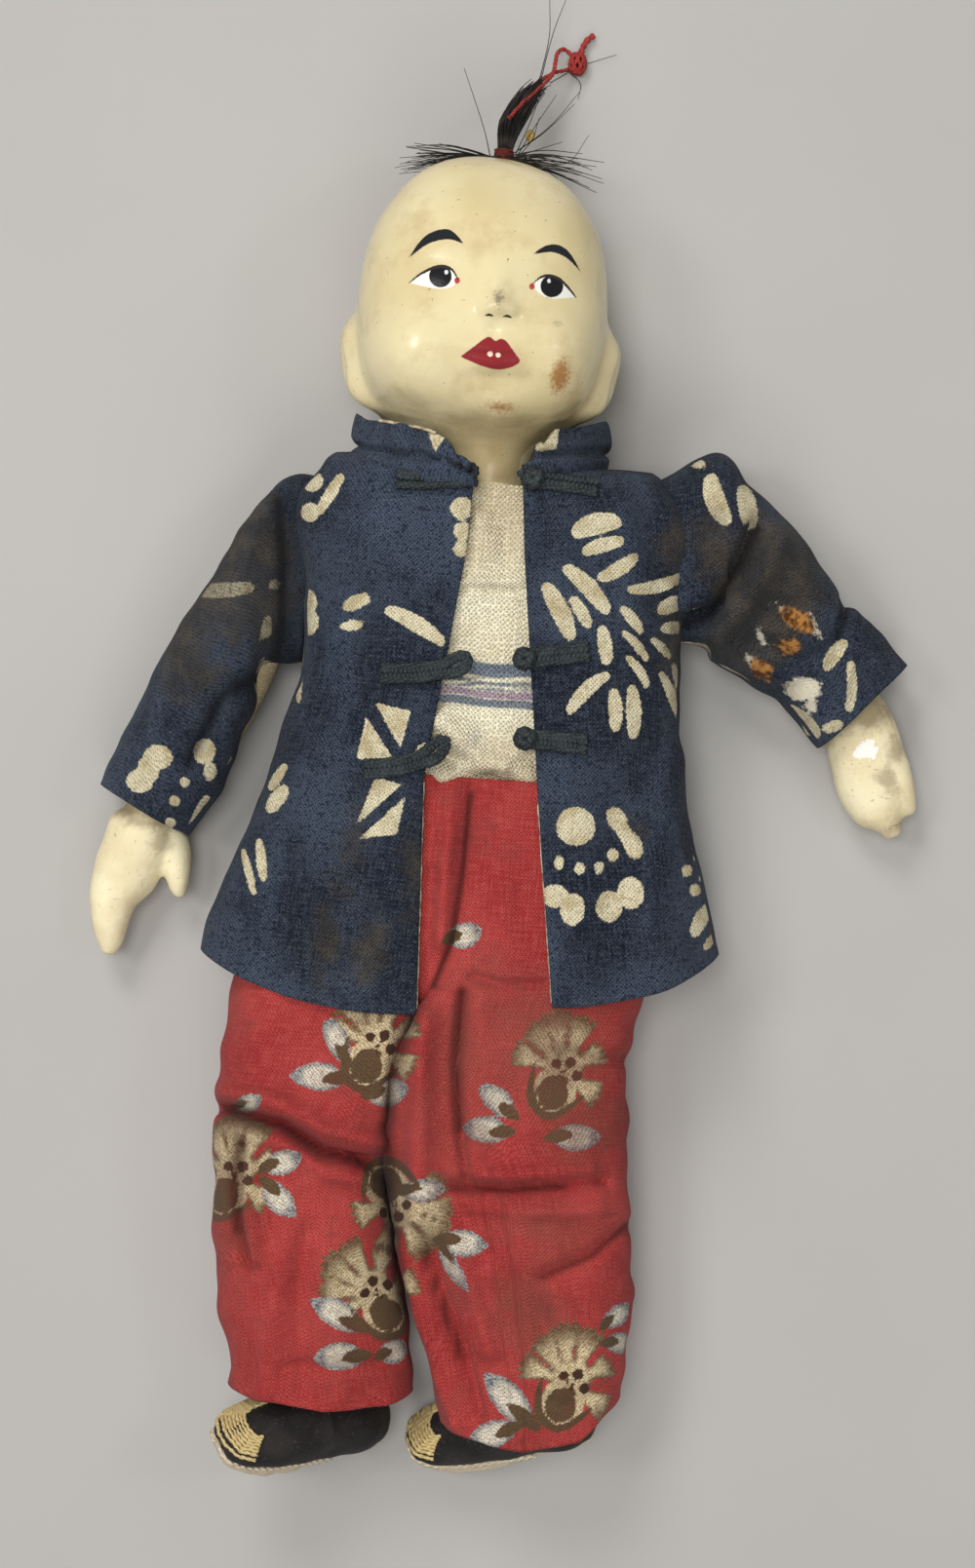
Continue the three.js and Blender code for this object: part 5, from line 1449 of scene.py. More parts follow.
def red_print_cloth():
    """Turkey-red cotton printed with carnations and leaves, faded and soiled."""
    made = Finish("red_print_cloth", 0.94, 0.1)
    weave = made.weave(0.4)
    slubs = made.slubs(0.4)
    red = made.mottled(made.noise(45, 4), 0.35, 0.7, (0.31, 0.029, 0.028), (0.45, 0.058, 0.052))
    red = made.mix(made.between(slubs, 0.42, 0.62, 0.0, 0.4), red, (0.55, 0.105, 0.09))
    fine = made.uneven(1300, 0.9, 2)
    coarse = made.uneven(900, 1.6, 3, 0.7)
    stipple = made.noise(1700, 2)
    umber = made.mottled(stipple, 0.4, 0.62, (0.11, 0.075, 0.038), (0.21, 0.15, 0.08))
    straw = made.mottled(stipple, 0.42, 0.66, (0.66, 0.55, 0.34), (0.42, 0.31, 0.16))
    red = made.mix(made.inside("petal", 0.2, fine), red, umber)
    near = made.between(made.math("MULTIPLY_ADD", coarse, 2.4, made.attribute("bloom")), 11.8, 7.0)
    red = made.mix(made.math("MULTIPLY", made.inside("petal", 0.5, coarse, -0.5), near), red, straw)
    red = made.mix(made.inside("cup", 0.3, fine), red, straw)
    slate = made.mottled(stipple, 0.36, 0.6, (0.10, 0.12, 0.135), (0.36, 0.37, 0.34))
    chalk = made.mottled(stipple, 0.4, 0.66, (0.74, 0.68, 0.54), (0.50, 0.44, 0.34))
    red = made.mix(made.inside("leaf", 0.2, fine), red, slate)
    not_tip = made.math("SUBTRACT", 1.0, made.inside("tip", 0.9, coarse))
    pale = made.math("MULTIPLY", made.inside("leaf", 0.7, coarse, -0.8), not_tip)
    red = made.mix(pale, red, chalk)
    olive = made.mix(stipple, (0.07, 0.047, 0.022), (0.13, 0.095, 0.05))
    red = made.mix(made.inside("olive", 0.2, fine), red, olive)
    red = made.mix(made.inside("dark", 0.15, fine), red, (0.045, 0.03, 0.017))
    patchy = made.uneven(150, 18.0, 6, 0.65)
    red = made.tint(red, made.inside("soil", 7.0, patchy), 0.5, (0.15, 0.07, 0.045))
    grime = made.between(made.noise(90, 5, 0.6), 0.5, 0.72)
    red = made.tint(red, grime, 0.42, (0.14, 0.042, 0.034))
    # Painted shade in the folds and between the legs.
    red = made.tint(red, made.attribute("groove"), 0.74, (0.035, 0.012, 0.01))
    # Painted shade between the threads.
    red = made.hollows(red, weave, 0.55, 0.75, (0.10, 0.012, 0.012))
    made.colour(red)
    made.soft_nap()
    threads = made.bump(weave, 0.6, 0.00022)
    made.surface(made.bump(made.noise(700, 3), 0.25, 0.0003, threads))
    return made.material


def make_trousers(cloth):
    for side in ("right", "left"):
        piece = formed_sheet(
            "trouser_" + side + "_half", 210, 190, trouser_place(side), cloth, trouser_relief(side), True,
            trouser_fields,
        )
        declare_cloth(piece)
        thicken(piece, TROUSER_THICKNESS)
        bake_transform(piece)
        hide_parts("trouser_leg_" + side, *(["trouser_seat"] if side == "right" else []))


# Cord closures


def braided(path, size):
    """Three strands plaited along a path, as paths of their own."""
    path = np.asarray(path, float)
    run = run_along(path)
    count = max(8, int(run[-1] / 0.32))
    even = np.stack([np.interp(np.linspace(0, run[-1], count), run, path[:, k]) for k in range(3)], -1)
    side, up = frames_along(even)
    pace = math.tau / 3.1 * np.linspace(0, run[-1], count)
    strand_paths = []
    for k in range(3):
        phase = pace + k * math.tau / 3
        beside, above = 0.62 * np.sin(phase)[:, None], 0.34 * np.sin(2 * phase)[:, None]
        strand_paths.append(even + size * (beside * side + above * up))
    return strand_paths


FROGS = {
    "top": {"loop": ((-17.0, 60.6), (-2.6, 60.4), 2.2), "knot": ((24.0, 61.9), (10.6, 62.6))},
    "middle": {"loop": ((-17.6, 20.6), (-1.2, 21.4), 2.4), "knot": ((24.4, 27.8), (11.4, 25.4))},
    "bottom": {"loop": ((-19.6, 0.8), (-4.2, 2.6), 3.6), "knot": ((25.2, 8.8), (12.6, 9.2))},
}
FROG_RADIUS = 1.12
STRAND_RADII = [0.58] * 3
KNOT_RADIUS = 0.85


def on_jacket(flat, lift):
    flat = np.asarray(flat, float)
    return np.column_stack([flat, JACKET.top(flat[:, 0], flat[:, 1]) + lift])


# Rows of a doubled cord: share of its reach, length past that, and place beside its line
LOOP_SHAPE = [
    (0, 0, 1.05), (0.25, 0, 0.95), (0.5, 0, 1), (0.72, 0, 0.9), (1, -2.6, 1.3), (1, -0.4, 1.6),
    (1, 1, 0.7), (1, 1, -0.8), (1, -0.5, -1.6), (1, -2.6, -1.3), (0.72, 0, -0.9), (0.5, 0, -1),
    (0.25, 0, -0.95), (0, 0, -1.05),
]
BAR_SHAPE = [
    (0, 0, 1.05), (0.3, 0, 0.95), (0.7, 0, 0.95), (1, -0.5, 0.7), (1, -0.5, -0.7), (0.7, 0, -0.95),
    (0.3, 0, -0.95), (0, 0, -1.05),
]
CORD_LIFT = 0.75


def cord_on_front(start, end, shape, count, rise=0.0):
    """A doubled cord from one place on the front to another; rise turns its end up past the edge."""
    start, end = np.array(start), np.array(end)
    reach = np.linalg.norm(end - start)
    along = (end - start) / reach
    across = np.array([-along[1], along[0]])
    flat = []
    for share, past, beside in shape:
        out = share * reach + past
        flat.append(start + out * along + (beside + rise * (out / reach) ** 3) * across)
    return on_jacket(through(flat, shares(count)), CORD_LIFT)


def ball_knot(ball):
    """Path of a cord wound into a ball that sits on the front."""
    t = np.linspace(0, math.tau, 130)
    rise = 1.05 * np.sin(4 * t)
    wound = np.column_stack([np.cos(rise) * np.cos(3 * t), np.cos(rise) * np.sin(3 * t), np.sin(rise)]) * 1.75
    return wound + on_jacket([ball], 1.9)[0]


def cord_cloth():
    """Charcoal braid of plied cotton, lighter on its plies' crests as painted light, with random dust."""
    made = Finish("cord_cloth", 0.9, 0.15)
    tone = made.mottled(made.noise(300, 3), 0.35, 0.7, (0.016, 0.02, 0.024), (0.036, 0.044, 0.046))
    ply = made.plies(9.0)
    # Painted light on the plies' crests.
    tone = made.tint(tone, ply, 0.45, (0.075, 0.085, 0.083))
    dust = made.between(made.noise(1600, 2), 0.62, 0.74)
    made.colour(made.tint(tone, dust, 0.4, (0.16, 0.16, 0.15)))
    made.surface(made.bump(ply, 0.6, 0.00015))
    return made.material


def make_frogs():
    cloth = cord_cloth()
    for level, pair in FROGS.items():
        start, eye, rise = pair["loop"]
        loop = braided(cord_on_front(start, eye, LOOP_SHAPE, 140, rise), FROG_RADIUS)
        piece = strands("frog_loop_" + level + "_braid", loop, STRAND_RADII, cloth)
        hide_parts("frog_loop_" + level)
        start, ball = pair["knot"]
        bar = braided(cord_on_front(start, ball, BAR_SHAPE, 120), FROG_RADIUS)
        radii = STRAND_RADII + [KNOT_RADIUS]
        knot = strands("frog_knot_" + level + "_braid", bar + [ball_knot(ball)], radii, cloth)
        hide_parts("frog_knot_" + level)
        for made in (piece, knot):
            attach(made, "trunk")


def raw_edge_cloth():
    made = Finish("raw_edge_cloth", 0.95, 0.1)
    made.colour(made.mottled(made.noise(800, 3), 0.4, 0.65, (0.55, 0.46, 0.33), (0.28, 0.21, 0.14)))
    made.surface(made.bump(made.noise(2500, 2), 0.5, 0.0002))
    return made.material


def make_raw_edges():
    """Pale frayed edge left along the lower fronts and the collar's top."""
    cloth = raw_edge_cloth()
    paths = []
    for side, top, foot in (("right", -1.0, -48.0), ("left", -4.0, -44.6)):
        y = np.linspace(top, foot, 90)
        x = front_edge(side, y) + 0.08 * wander(y, y * 0, 2.0, 71)
        sink = 2.1 * (1 - step(-20, 10, y)) + 0.75
        paths.append(np.column_stack([x, y, JACKET.top(x, y) - sink + 0.1 * wander(y, y * 0, 3.0, 72)]))
    u = np.linspace(0.03, 0.13, 60)
    rim = collar_place(u, np.ones(60))
    fray = np.column_stack([0 * u, 0.15 * wander(u * 100, u, 4, 73), 0.1 * wander(u * 100, u, 3, 74)])
    paths.append(rim + fray)
    piece = strands("jacket_raw_edges", paths, [0.3, 0.3, 0.34], cloth, 6)
    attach(piece, "trunk")


# Hands and arms

HANDS = {
    "right": {
        "palm": [
            (-66, -8, 5.2, 6.4), (-66.2, -12, 6.4, 7), (-67.6, -16, 8.2, 7.4), (-69.6, -20.5, 7.4, 7.2),
            (-71.2, -25, 7.2, 6.6), (-73.3, -30, 5.5, 5.6), (-73.7, -35, 4.2, 4.6),
            (-73.5, -39.6, 3, 3.4), (-73.6, -42.6, 1.3, 1.6),
        ],
        "thumb": [
            (-64, -14, 4, 4.6), (-61, -19, 3.7, 4.4), (-59.9, -24, 2.9, 3.6), (-59.3, -27.6, 2, 2.6),
            (-58.9, -29.4, 0.9, 1.2),
        ],
        "height": 8.4,
    },
    "left": {
        "palm": [
            (82.2, 22, 6.6, 6.6), (84.6, 17.2, 7.8, 7), (87, 10.6, 8.2, 7.2), (88.8, 4.4, 8, 6.6),
            (90.8, -0.6, 6.4, 5.4), (92.6, -3.6, 3.2, 3.8), (93.9, -6.2, 1.6, 2),
        ],
        "thumb": [(92, 9, 4.2, 5.4), (94.2, 4, 3.6, 4.8), (96, 0.2, 2.4, 3.2), (96.6, -1.4, 1.2, 1.8)],
        "height": 8.2,
    },
}
HAND_MARKS = {
    "right": {
        "wrist": ((-66, -9), (9, 4.6)),
        "grime": [(oval, (-62.5, -17), (2.2, 2.6))],
        "chips": [],
        "cracks": [[(-70, -20), (-67, -24), (-66, -27)]],
    },
    "left": {
        "wrist": ((82.5, 20.5), (8, 4.4)),
        "grime": [
            (oval, (90, 6), (1.4, 4), 20), (oval, (90.6, 12), (1.6, 3.2), -30),
            (oval, (93.6, -3.2), (2.6, 0.9), 20),
        ],
        "chips": [(oval, (85.2, 11.9), (2.4, 2), 20)],
        "cracks": [
            [(80.5, 10), (84, 9), (88, 7.8), (92, 7)], [(91, -4.6), (93.4, -3), (95.6, -2.6)],
            [(87, 3), (90, 2), (93, 2.4)],
        ],
    },
}


def add_limb(mesh, rows, sides=20, steps=26):
    """Adds a rolled-up grid to an open bmesh, from rows of place, half width, half depth and height."""
    x, y, half, deep, height = through(rows, shares(steps)).T[..., None]
    ahead = np.gradient(np.concatenate([x, y], axis=1), axis=0)
    ahead /= np.linalg.norm(ahead, axis=1, keepdims=True)
    turn = np.linspace(0, math.tau, sides + 1)[None]
    out = half * np.cos(turn)
    points = np.stack([x - out * ahead[:, 1:], y + out * ahead[:, :1], height + deep * np.sin(turn)], -1)
    add_lattice(mesh, points, np.broadcast_to(turn, out.shape), np.broadcast_to(y, out.shape))


def fused(piece, voxel, passes):
    """Grows overlapping forms together into one smooth skin."""
    skin = piece.modifiers.new("fuse", "REMESH")
    skin.mode = "VOXEL"
    skin.voxel_size = voxel * MM
    skin.use_smooth_shade = True
    soften = piece.modifiers.new("soften", "SMOOTH")
    soften.factor = 0.5
    soften.iterations = passes
    bpy.context.view_layer.update()
    done = bpy.data.meshes.new_from_object(piece.evaluated_get(bpy.context.evaluated_depsgraph_get()))
    piece.modifiers.clear()
    piece.data = done
    done.shade_smooth()
    return piece


def paint_points(piece, fields):
    """Stores fields of places in millimetres on a finished mesh."""
    mesh = piece.data
    points = np.array([v.co for v in mesh.vertices]) / MM
    for name, values in fields(points).items():
        mesh.attributes.new(name, "FLOAT", "POINT").data.foreach_set("value", values.astype(np.float32))


def hand_composition():
    """Cream paint on composition, soiled at the wrist, with one chip and fine cracks."""
    made = Finish("hand_composition", 0.5, 0.3)
    cream = made.mottled(made.noise(90, 4), 0.35, 0.7, (0.88, 0.79, 0.52), (0.76, 0.64, 0.39))
    patchy = made.uneven(260, 9.0, 5, 0.65)
    cream = made.tint(cream, made.inside("wrist", 2.6, patchy), 0.75, (0.25, 0.175, 0.085))
    specks = made.between(made.noise(1100, 3), 0.64, 0.76)
    cream = made.tint(cream, specks, 0.55, (0.32, 0.24, 0.13))
    ragged = made.uneven(600, 3.4, 4, 0.65)
    cream = made.tint(cream, made.inside("grime", 1.8, patchy), 0.6, (0.30, 0.225, 0.13))
    cream = made.mix(made.inside("chip", 0.15, ragged), cream, (0.90, 0.88, 0.80))
    crack = made.inside("crack", 0.12, made.math("MULTIPLY", ragged, 0.14))
    cream = made.tint(cream, crack, 0.7, (0.2, 0.15, 0.09))
    made.colour(cream)
    dents = made.bump(made.noise(240, 4), 0.45, 0.0008)
    made.surface(made.bump(made.noise(1500, 3), 0.3, 0.0003, dents))
    return made.material


def hand_fields(side):
    marks = HAND_MARKS[side]

    def fields(points):
        x, y = plan(points)
        under = 30 * (points[:, 2] < 8)
        chip = nearest(x, y, marks["chips"]) if marks["chips"] else np.full(len(x), NOWHERE)
        crack = np.minimum.reduce([stroke(x, y, path, [0.06, 0.12, 0.05]) for path in marks["cracks"]])
        wrist, grime = oval(x, y, *marks["wrist"]), nearest(x, y, marks["grime"])
        return {"wrist": wrist, "grime": grime, "chip": chip + under, "crack": crack + under}

    return fields


def make_hands():
    paint = hand_composition()
    for side, hand in HANDS.items():
        mesh = bmesh.new()
        for part, lift in (("palm", 0.0), ("thumb", 0.4)):
            add_limb(mesh, [(*row, hand["height"] + lift) for row in hand[part]])
        close_tubes(mesh)
        piece = fused(finish_mesh("hand_" + side + "_shell", mesh, paint), 0.55, 9)
        paint_points(piece, hand_fields(side))
        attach(piece, side + "_arm")
        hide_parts("hand_" + side)


def plain_muslin():
    """The body's own cloth, seen only at the ends of the limbs."""
    made = Finish("body_muslin", 0.95, 0.1)
    tone = made.mottled(made.noise(120, 4), 0.35, 0.7, (0.62, 0.53, 0.36), (0.42, 0.33, 0.2))
    grain = made.noise(2200, 2)
    made.colour(made.mix(made.between(grain, 0.35, 0.6), tone, (0.34, 0.27, 0.16)))
    made.surface(made.bump(grain, 0.5, 0.0003))
    return made.material


ARM_ENDS = {
    "right": [
        (-44.5, 36, 7, 5.5, 12), (-50.5, 22, 9.5, 8.4, 13.4), (-58, 6, 9, 8.8, 11),
        (-64.5, -6, 6.5, 7.6, 9.6), (-65.6, -10, 6.9, 7.6, 9.4),
    ],
    "left": [
        (51.5, 46, 7.2, 6.4, 14), (59, 42.4, 9.8, 9, 14), (70, 34, 9, 8.8, 11), (79.5, 26, 7.4, 7.6, 9.6),
        (82, 22.4, 7.2, 7.4, 9.4),
    ],
}
LEG_ENDS = {
    "right": [
        (-26, -74, 14, 13, 17), (-25, -100, 11, 10, 18), (-20, -122, 6.2, 6.2, 17),
        (-19, -136.6, 4.4, 4.4, 14),
    ],
    "left": [
        (20, -74, 14, 13, 17), (21, -100, 11, 10, 17), (22.6, -122, 6.2, 6.2, 16),
        (22.8, -134.6, 5.4, 5.4, 13.4),
    ],
}


def make_limbs(thread):
    cloth = plain_muslin()
    for side in ("right", "left"):
        for limb, rows in (("arm_", ARM_ENDS[side]), ("leg_", LEG_ENDS[side])):
            mesh = bmesh.new()
            add_limb(mesh, rows, 24, 40)
            close_tubes(mesh)
            piece = finish_mesh(limb + side + "_stuffed", mesh, cloth)
            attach(piece, side + "_" + limb[:3])
            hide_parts(limb + side)
        x, y, half, deep, height = ARM_ENDS[side][3]
        ahead = np.array(ARM_ENDS[side][4][:2]) - (x, y)
        ahead /= np.linalg.norm(ahead)
        turns = np.linspace(0, math.tau * 3.2, 120)
        drift = np.linspace(-0.9, 0.9, 120)
        ring = np.column_stack([
            x + (half + 0.5) * np.cos(turns) * -ahead[1] + drift * ahead[0],
            y + (half + 0.5) * np.cos(turns) * ahead[0] + drift * ahead[1],
            height + (deep + 0.5) * np.sin(turns),
        ])
        tie = strands("wrist_tie_" + side + "_thread", [ring], [0.3], thread)
        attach(tie, side + "_arm")
        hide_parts("wrist_tie_" + side)


# Shoes

SHOE_LENGTH = 41.0
ANKLE_SHARE = 0.36
SHOE_HALF = 7.5
SHOE_HEIGHT = 13.0
SHOE_BLUNT = 0.85
TOE_SQUARE = 2.35
TOE_ROWS = 8
SHOE_ROWS = np.array([
    (0, 0.3, 0.24, 0.7), (0.03, 0.66, 0.12, 0.9), (0.1, 0.9, 0.04, 0.99), (0.35, 1, 0, 1),
    (0.62, 1.03, 0.02, 0.92), (0.82, 0.97, 0.09, 0.74), (0.93, 0.76, 0.18, 0.63), (0.985, 0.44, 0.26, 0.55),
    (1, 0.16, 0.32, 0.47),
])
# Ankle, then turn about the leg, tilt across it and roll of the sole, in degrees
FEET = {"right": ((-19.0, -136.4, 17.0), 218.0, 3.0, 40.0), "left": ((22.8, -134.0, 13.4), 180.0, 12.0, 40.0)}


def shoe_section(along):
    half, low, high = (smooth(SHOE_ROWS[:, 0], SHOE_ROWS[:, k], along) for k in (1, 2, 3))
    x = (along - ANKLE_SHARE) * SHOE_LENGTH
    return x, half * SHOE_HALF, low * SHOE_HEIGHT, high * SHOE_HEIGHT


def shoe_place(along, turn, grow=0.0):
    """Point on the shoe's upper, round it from the sole's middle; grow stands off its surface."""
    x, half, low, high = shoe_section(along)
    c, s = blunted(np.sin(turn), SHOE_BLUNT), blunted(-np.cos(turn), SHOE_BLUNT)
    z = (low + high) / 2 + ((high - low) / 2 + grow) * s
    return np.stack(np.broadcast_arrays(x, (half + grow) * c, z), -1)


def toe_row(inset):
    """A row of thread round the toe, set in from its outline as seen from above."""
    turn = np.linspace(-1.3, 0.62, 70) * (1 - 0.05 * inset)
    middle = 0.28 * SHOE_LENGTH
    inset = inset * (1 - 0.25 * turn**2)
    reach = np.linspace(0, 16, 320)[:, None]
    x, y = middle + reach * np.cos(turn), np.abs(reach * np.sin(turn))
    along = x / SHOE_LENGTH + ANKLE_SHARE
    within = (along < 1) & (y < shoe_section(np.clip(along, 0, 1))[1])
    reach = np.max(np.where(within, reach, 0), axis=0) - inset
    x, y = middle + reach * np.cos(turn), reach * np.sin(turn)
    _, half, low, high = shoe_section(x / SHOE_LENGTH + ANKLE_SHARE)
    share = np.clip(np.abs(y) / half, 0, 0.985)
    z = (low + high) / 2 + (high - low) / 2 * (1 - share**TOE_SQUARE) ** (1 / TOE_SQUARE)
    return np.column_stack([x, y, z + 0.25])


def foot_turn(side):
    """Takes the shoe's own places to the doll's."""
    ankle, turn, tilt, roll = FEET[side]
    c, s = heading(turn)
    about_y = np.array([[c, 0, s], [0, 1, 0], [-s, 0, c]])
    c, s = heading(tilt)
    about_z = np.array([[c, -s, 0], [s, c, 0], [0, 0, 1]])
    c, s = heading(-90 - roll)
    stand = np.array([[1, 0, 0], [0, c, -s], [0, s, c]])
    matrix = about_z @ about_y @ stand

    def into(points):
        return (points - (0, 0, 0.72 * SHOE_HEIGHT)) @ matrix.T + ankle

    return into


def black_satin():
    """Black cloth of the shoes, dull and dusty, with a fine rib."""
    made = Finish("black_satin", 0.62, 0.35)
    weave = made.weave(0.36)
    tone = made.mottled(made.noise(150, 4), 0.35, 0.7, (0.014, 0.012, 0.012), (0.03, 0.026, 0.024))
    dust = made.between(made.noise(1500, 3), 0.58, 0.74)
    tone = made.tint(tone, dust, 0.45, (0.12, 0.105, 0.09))
    # Painted shade between the threads of the rib.
    made.colour(made.hollows(tone, weave, 0.5, 0.5, (0.005, 0.004, 0.004)))
    made.surface(made.bump(weave, 0.5, 0.0002))
    return made.material


def plied_thread(name, light, dark, roughness, metal=0.0):
    """Twisted thread, its plies slanting round it, its colour lighter on their crests and darker between them
    as painted light and shade, mixed with random fluff.
    """
    made = Finish(name, roughness, 0.4)
    made.shader.inputs["Metallic"].default_value = metal
    ply = made.plies(7.0)
    fluff = made.noise(900, 3)
    # Colour mixed between dark and light by random fluff and, as painted light and shade, by the plies'
    # height.
    made.colour(made.mix(made.math("MULTIPLY_ADD", fluff, 0.7, made.math("MULTIPLY", ply, 0.3)), dark, light))
    made.surface(made.bump(ply, 0.7, 0.00015))
    return made.material


def make_shoes():
    satin = black_satin()
    gold = plied_thread("gold_thread", (0.92, 0.75, 0.38), (0.56, 0.40, 0.16), 0.4, 0.3)
    sole_cloth = plied_thread("sole_cloth", (0.82, 0.72, 0.55), (0.38, 0.29, 0.19), 0.95)
    for side in ("right", "left"):
        into = foot_turn(side)

        def place(u, v):
            return into(shoe_place(v, math.tau * u))

        def relief(u, v, points):
            seam = 0.35 * np.exp(-(((u - 0.5) * 24) ** 2)) * step(0.5, 0.6, v)
            mouth = 0.4 * np.exp(-(((v - 0.44) / 0.02) ** 2)) * step(0.25, 0.35, np.minimum(u, 1 - u))
            return seam + mouth + 0.16 * wander(points[..., 0], points[..., 1] + points[..., 2], 5, 81)

        upper = formed_sheet("shoe_" + side + "_upper", 72, 90, place, satin, relief, True)

        def sole_place(u, v):
            along = 0.5 - 0.5 * np.cos(math.tau * u)
            x, half, low, _ = shoe_section(along)
            half = half * (0.82 - 0.3 * step(0.6, 0.35, along))
            share = smooth(shares(8), [0, 0.6, 0.95, 1.0, 1.0, 0.97, 0.5, 0], v)
            rise = smooth(shares(8), [-1.3, -1.3, -1.2, -0.5, 0.6, 1.0, 1.2, 1.2], v)
            flat_x = 0.14 * SHOE_LENGTH + (x - 0.14 * SHOE_LENGTH) * share
            low = shoe_section(np.clip(flat_x / SHOE_LENGTH + ANKLE_SHARE, 0, 1))[2]
            return into(np.stack([flat_x, np.where(u < 0.5, 1, -1) * half * share, low + rise], -1))

        def sole_relief(u, v, points):
            return 0.12 * wander(points[..., 0], points[..., 1], 2.2, 82)

        sole = formed_sheet("shoe_" + side + "_sole", 110, 30, sole_place, sole_cloth, sole_relief, True)
        t = np.linspace(0.2, 0.8, 260)
        edge = into(shoe_place(0.5 - 0.5 * np.cos(math.tau * t), np.where(t < 0.5, 0.85, -0.85), 0.35))
        welt = strands("shoe_" + side + "_welt", [edge], [0.55], sole_cloth, 8, **WELT_PLIED)
        rows = [into(toe_row(inset)) for inset in np.linspace(0.1, 5.2, TOE_ROWS)]
        braid = strands("shoe_" + side + "_toe_rows", rows, [0.42] * TOE_ROWS, gold, 7, **PLIED)
        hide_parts("shoe_upper_" + side)
        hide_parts("shoe_sole_" + side)
        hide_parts("toe_braid_" + side)
        slots = ((upper, "black_satin"), (sole, "sole_cloth"), (welt, "sole_cloth"), (braid, "gold_braid"))
        for piece, slot in slots:
            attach(piece, side + "_leg")


# Hair and red thread

QUEUE_PATH = [(0.2, 129, 22), (0.4, 134, 21), (1.2, 140, 17), (4.4, 147.5, 10), (7.4, 152.0, 6.2)]
QUEUE_RADII = [1.5, 1.6, 2.5, 2.1, 1.0]
TUFT_ROOT = (0.2, 131.1, 21.5)
CORD_PATH = [
    (0.9, 140.2, 21.9), (3.6, 144.6, 18), (6.9, 149.2, 12.6), (9.4, 153.2, 8.4), (9.9, 156.2, 6.4),
    (10.2, 158.8, 4.6), (11.4, 160.4, 2.6), (12.9, 159.8, 1.9),
]
RETURN_PATH = [(6.2, 151.4, 7.6), (9.5, 154.1, 6), (12.2, 155.6, 3.4), (12.9, 156.2, 2.2)]
TAIL_PATH = [(15.2, 159, 1.9), (15.7, 161.2, 1.2), (16.6, 163, 0.9), (18, 164.2, 0.8)]
KNOT_CENTRE = (14.8, 157.6, 2.0)
KNOT_HALF = (1.7, 2.3, 1.5)
CORD_DIAMETER = 0.9


def black_hair():
    """Coarse black hair, browner in places."""
    made = Finish("black_hair", 0.42, 0.4)
    tone = made.mottled(made.noise(260, 3), 0.4, 0.7, (0.008, 0.007, 0.006), (0.035, 0.027, 0.02))
    made.colour(tone)
    made.surface(made.bump(made.noise(3000, 2), 0.3, 0.0001))
    return made.material


def queue_hairs(rng):
    paths, radii = [], []
    for _ in range(170):
        t = np.linspace(0, rng.uniform(0.66, 1.0), 12)
        middle = through(QUEUE_PATH, t)
        size = smooth(shares(5), QUEUE_RADII, t)
        side, up = frames_along(middle)
        start, share = rng.uniform(0, math.tau), math.sqrt(rng.uniform(0.2, 1))
        turn = start + rng.uniform(-1.2, 1.2) * t
        beside, above = (size * share * np.cos(turn))[:, None], (size * share * np.sin(turn))[:, None]
        path = middle + beside * side + above * up
        paths.append(path + rng.normal(0, 0.75, 3) * (t**3)[:, None])
        radii.append(np.linspace(0.2, 0.08, 12))
    return paths, radii


def tuft_hairs(rng, side, count, reach):
    paths, radii = [], []
    profile = np.array(HEAD_PROFILE[:8])
    for _ in range(count):
        root = np.array(TUFT_ROOT) + (side * rng.uniform(0.2, 1.6), rng.normal(0, 0.2), rng.normal(0, 1.6))
        rise = rng.uniform(-0.26, 0.13)
        long = reach * rng.uniform(0.55, 1.0)
        tip = root + (side * long * math.cos(rise), long * math.sin(rise), rng.uniform(-4, 4))
        middle = (root + tip) / 2 + (0, 0.7 + rng.normal(0, 0.5), rng.normal(0, 0.6))
        path = through([root, middle, tip], shares(12))
        dome = np.interp(np.abs(path[:, 0] - HEAD_X) / HEAD_HALF, profile[:, 0], profile[:, 1])
        path[:, 1] = np.maximum(path[:, 1], JAW_Y + (CROWN_Y - JAW_Y) * dome + rng.uniform(0.7, 1.5))
        paths.append(path)
        radii.append(np.linspace(0.15, 0.06, 12))
    return paths, radii


STRAY_HAIRS = [
    [(-2.5, 131.5, 21), (-4.6, 139, 18), (-9.6, 152.5, 12)], [(6.5, 151, 8), (8.2, 162, 5), (7.8, 171, 3)],
    [(6.8, 151, 8), (9, 163, 5), (11.4, 171.5, 2.5)], [(3.4, 134, 20), (8.6, 139.5, 14), (14.6, 148, 5)],
    [(3.2, 133, 20), (6.8, 141, 15), (10.6, 149, 8)], [(4, 132.5, 20), (13.4, 132.6, 16), (18.2, 140.6, 9)],
    [(2.6, 132, 22), (8, 135, 18), (12.4, 137.6, 14)], [(2.8, 133, 21), (5.6, 142, 15), (8.2, 153, 8)],
    [(2.4, 133, 21), (9.6, 141, 13), (15.6, 151, 4)], [(3, 132, 21), (6, 137, 17), (7.2, 143, 12)],
    [(9, 152, 6), (15.4, 157, 2.2), (23.2, 160.4, 1)],
    [(12, 156, 3), (15.6, 153.6, 1.6), (15.4, 150, 1)],
]


def make_hair():
    rng = np.random.default_rng(5)
    hair = black_hair()
    paths, radii = queue_hairs(rng)
    core = through(QUEUE_PATH, np.linspace(0, 0.97, 26))
    core_size = 0.82 * smooth(shares(5), QUEUE_RADII, np.linspace(0, 0.97, 26))
    queue = strands("hair_queue_strands", paths + [core], radii + [core_size], hair, 5)
    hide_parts("hair_queue")
    made = [queue]
    for name, side, count, reach in (("right", -1, 44, 23), ("left", 1, 24, 21)):
        paths, radii = tuft_hairs(rng, side, count, reach)
        tuft = strands("side_hair_" + name + "_strands", paths, radii, hair, 4)
        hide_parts("side_hair_" + name)
        made.append(tuft)
    strays = [through(path, shares(14)) for path in STRAY_HAIRS]
    made.append(strands("stray_hairs", strays, [np.linspace(0.11, 0.06, 14)] * len(strays), hair, 4))
    for piece in made:
        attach(piece, "head")


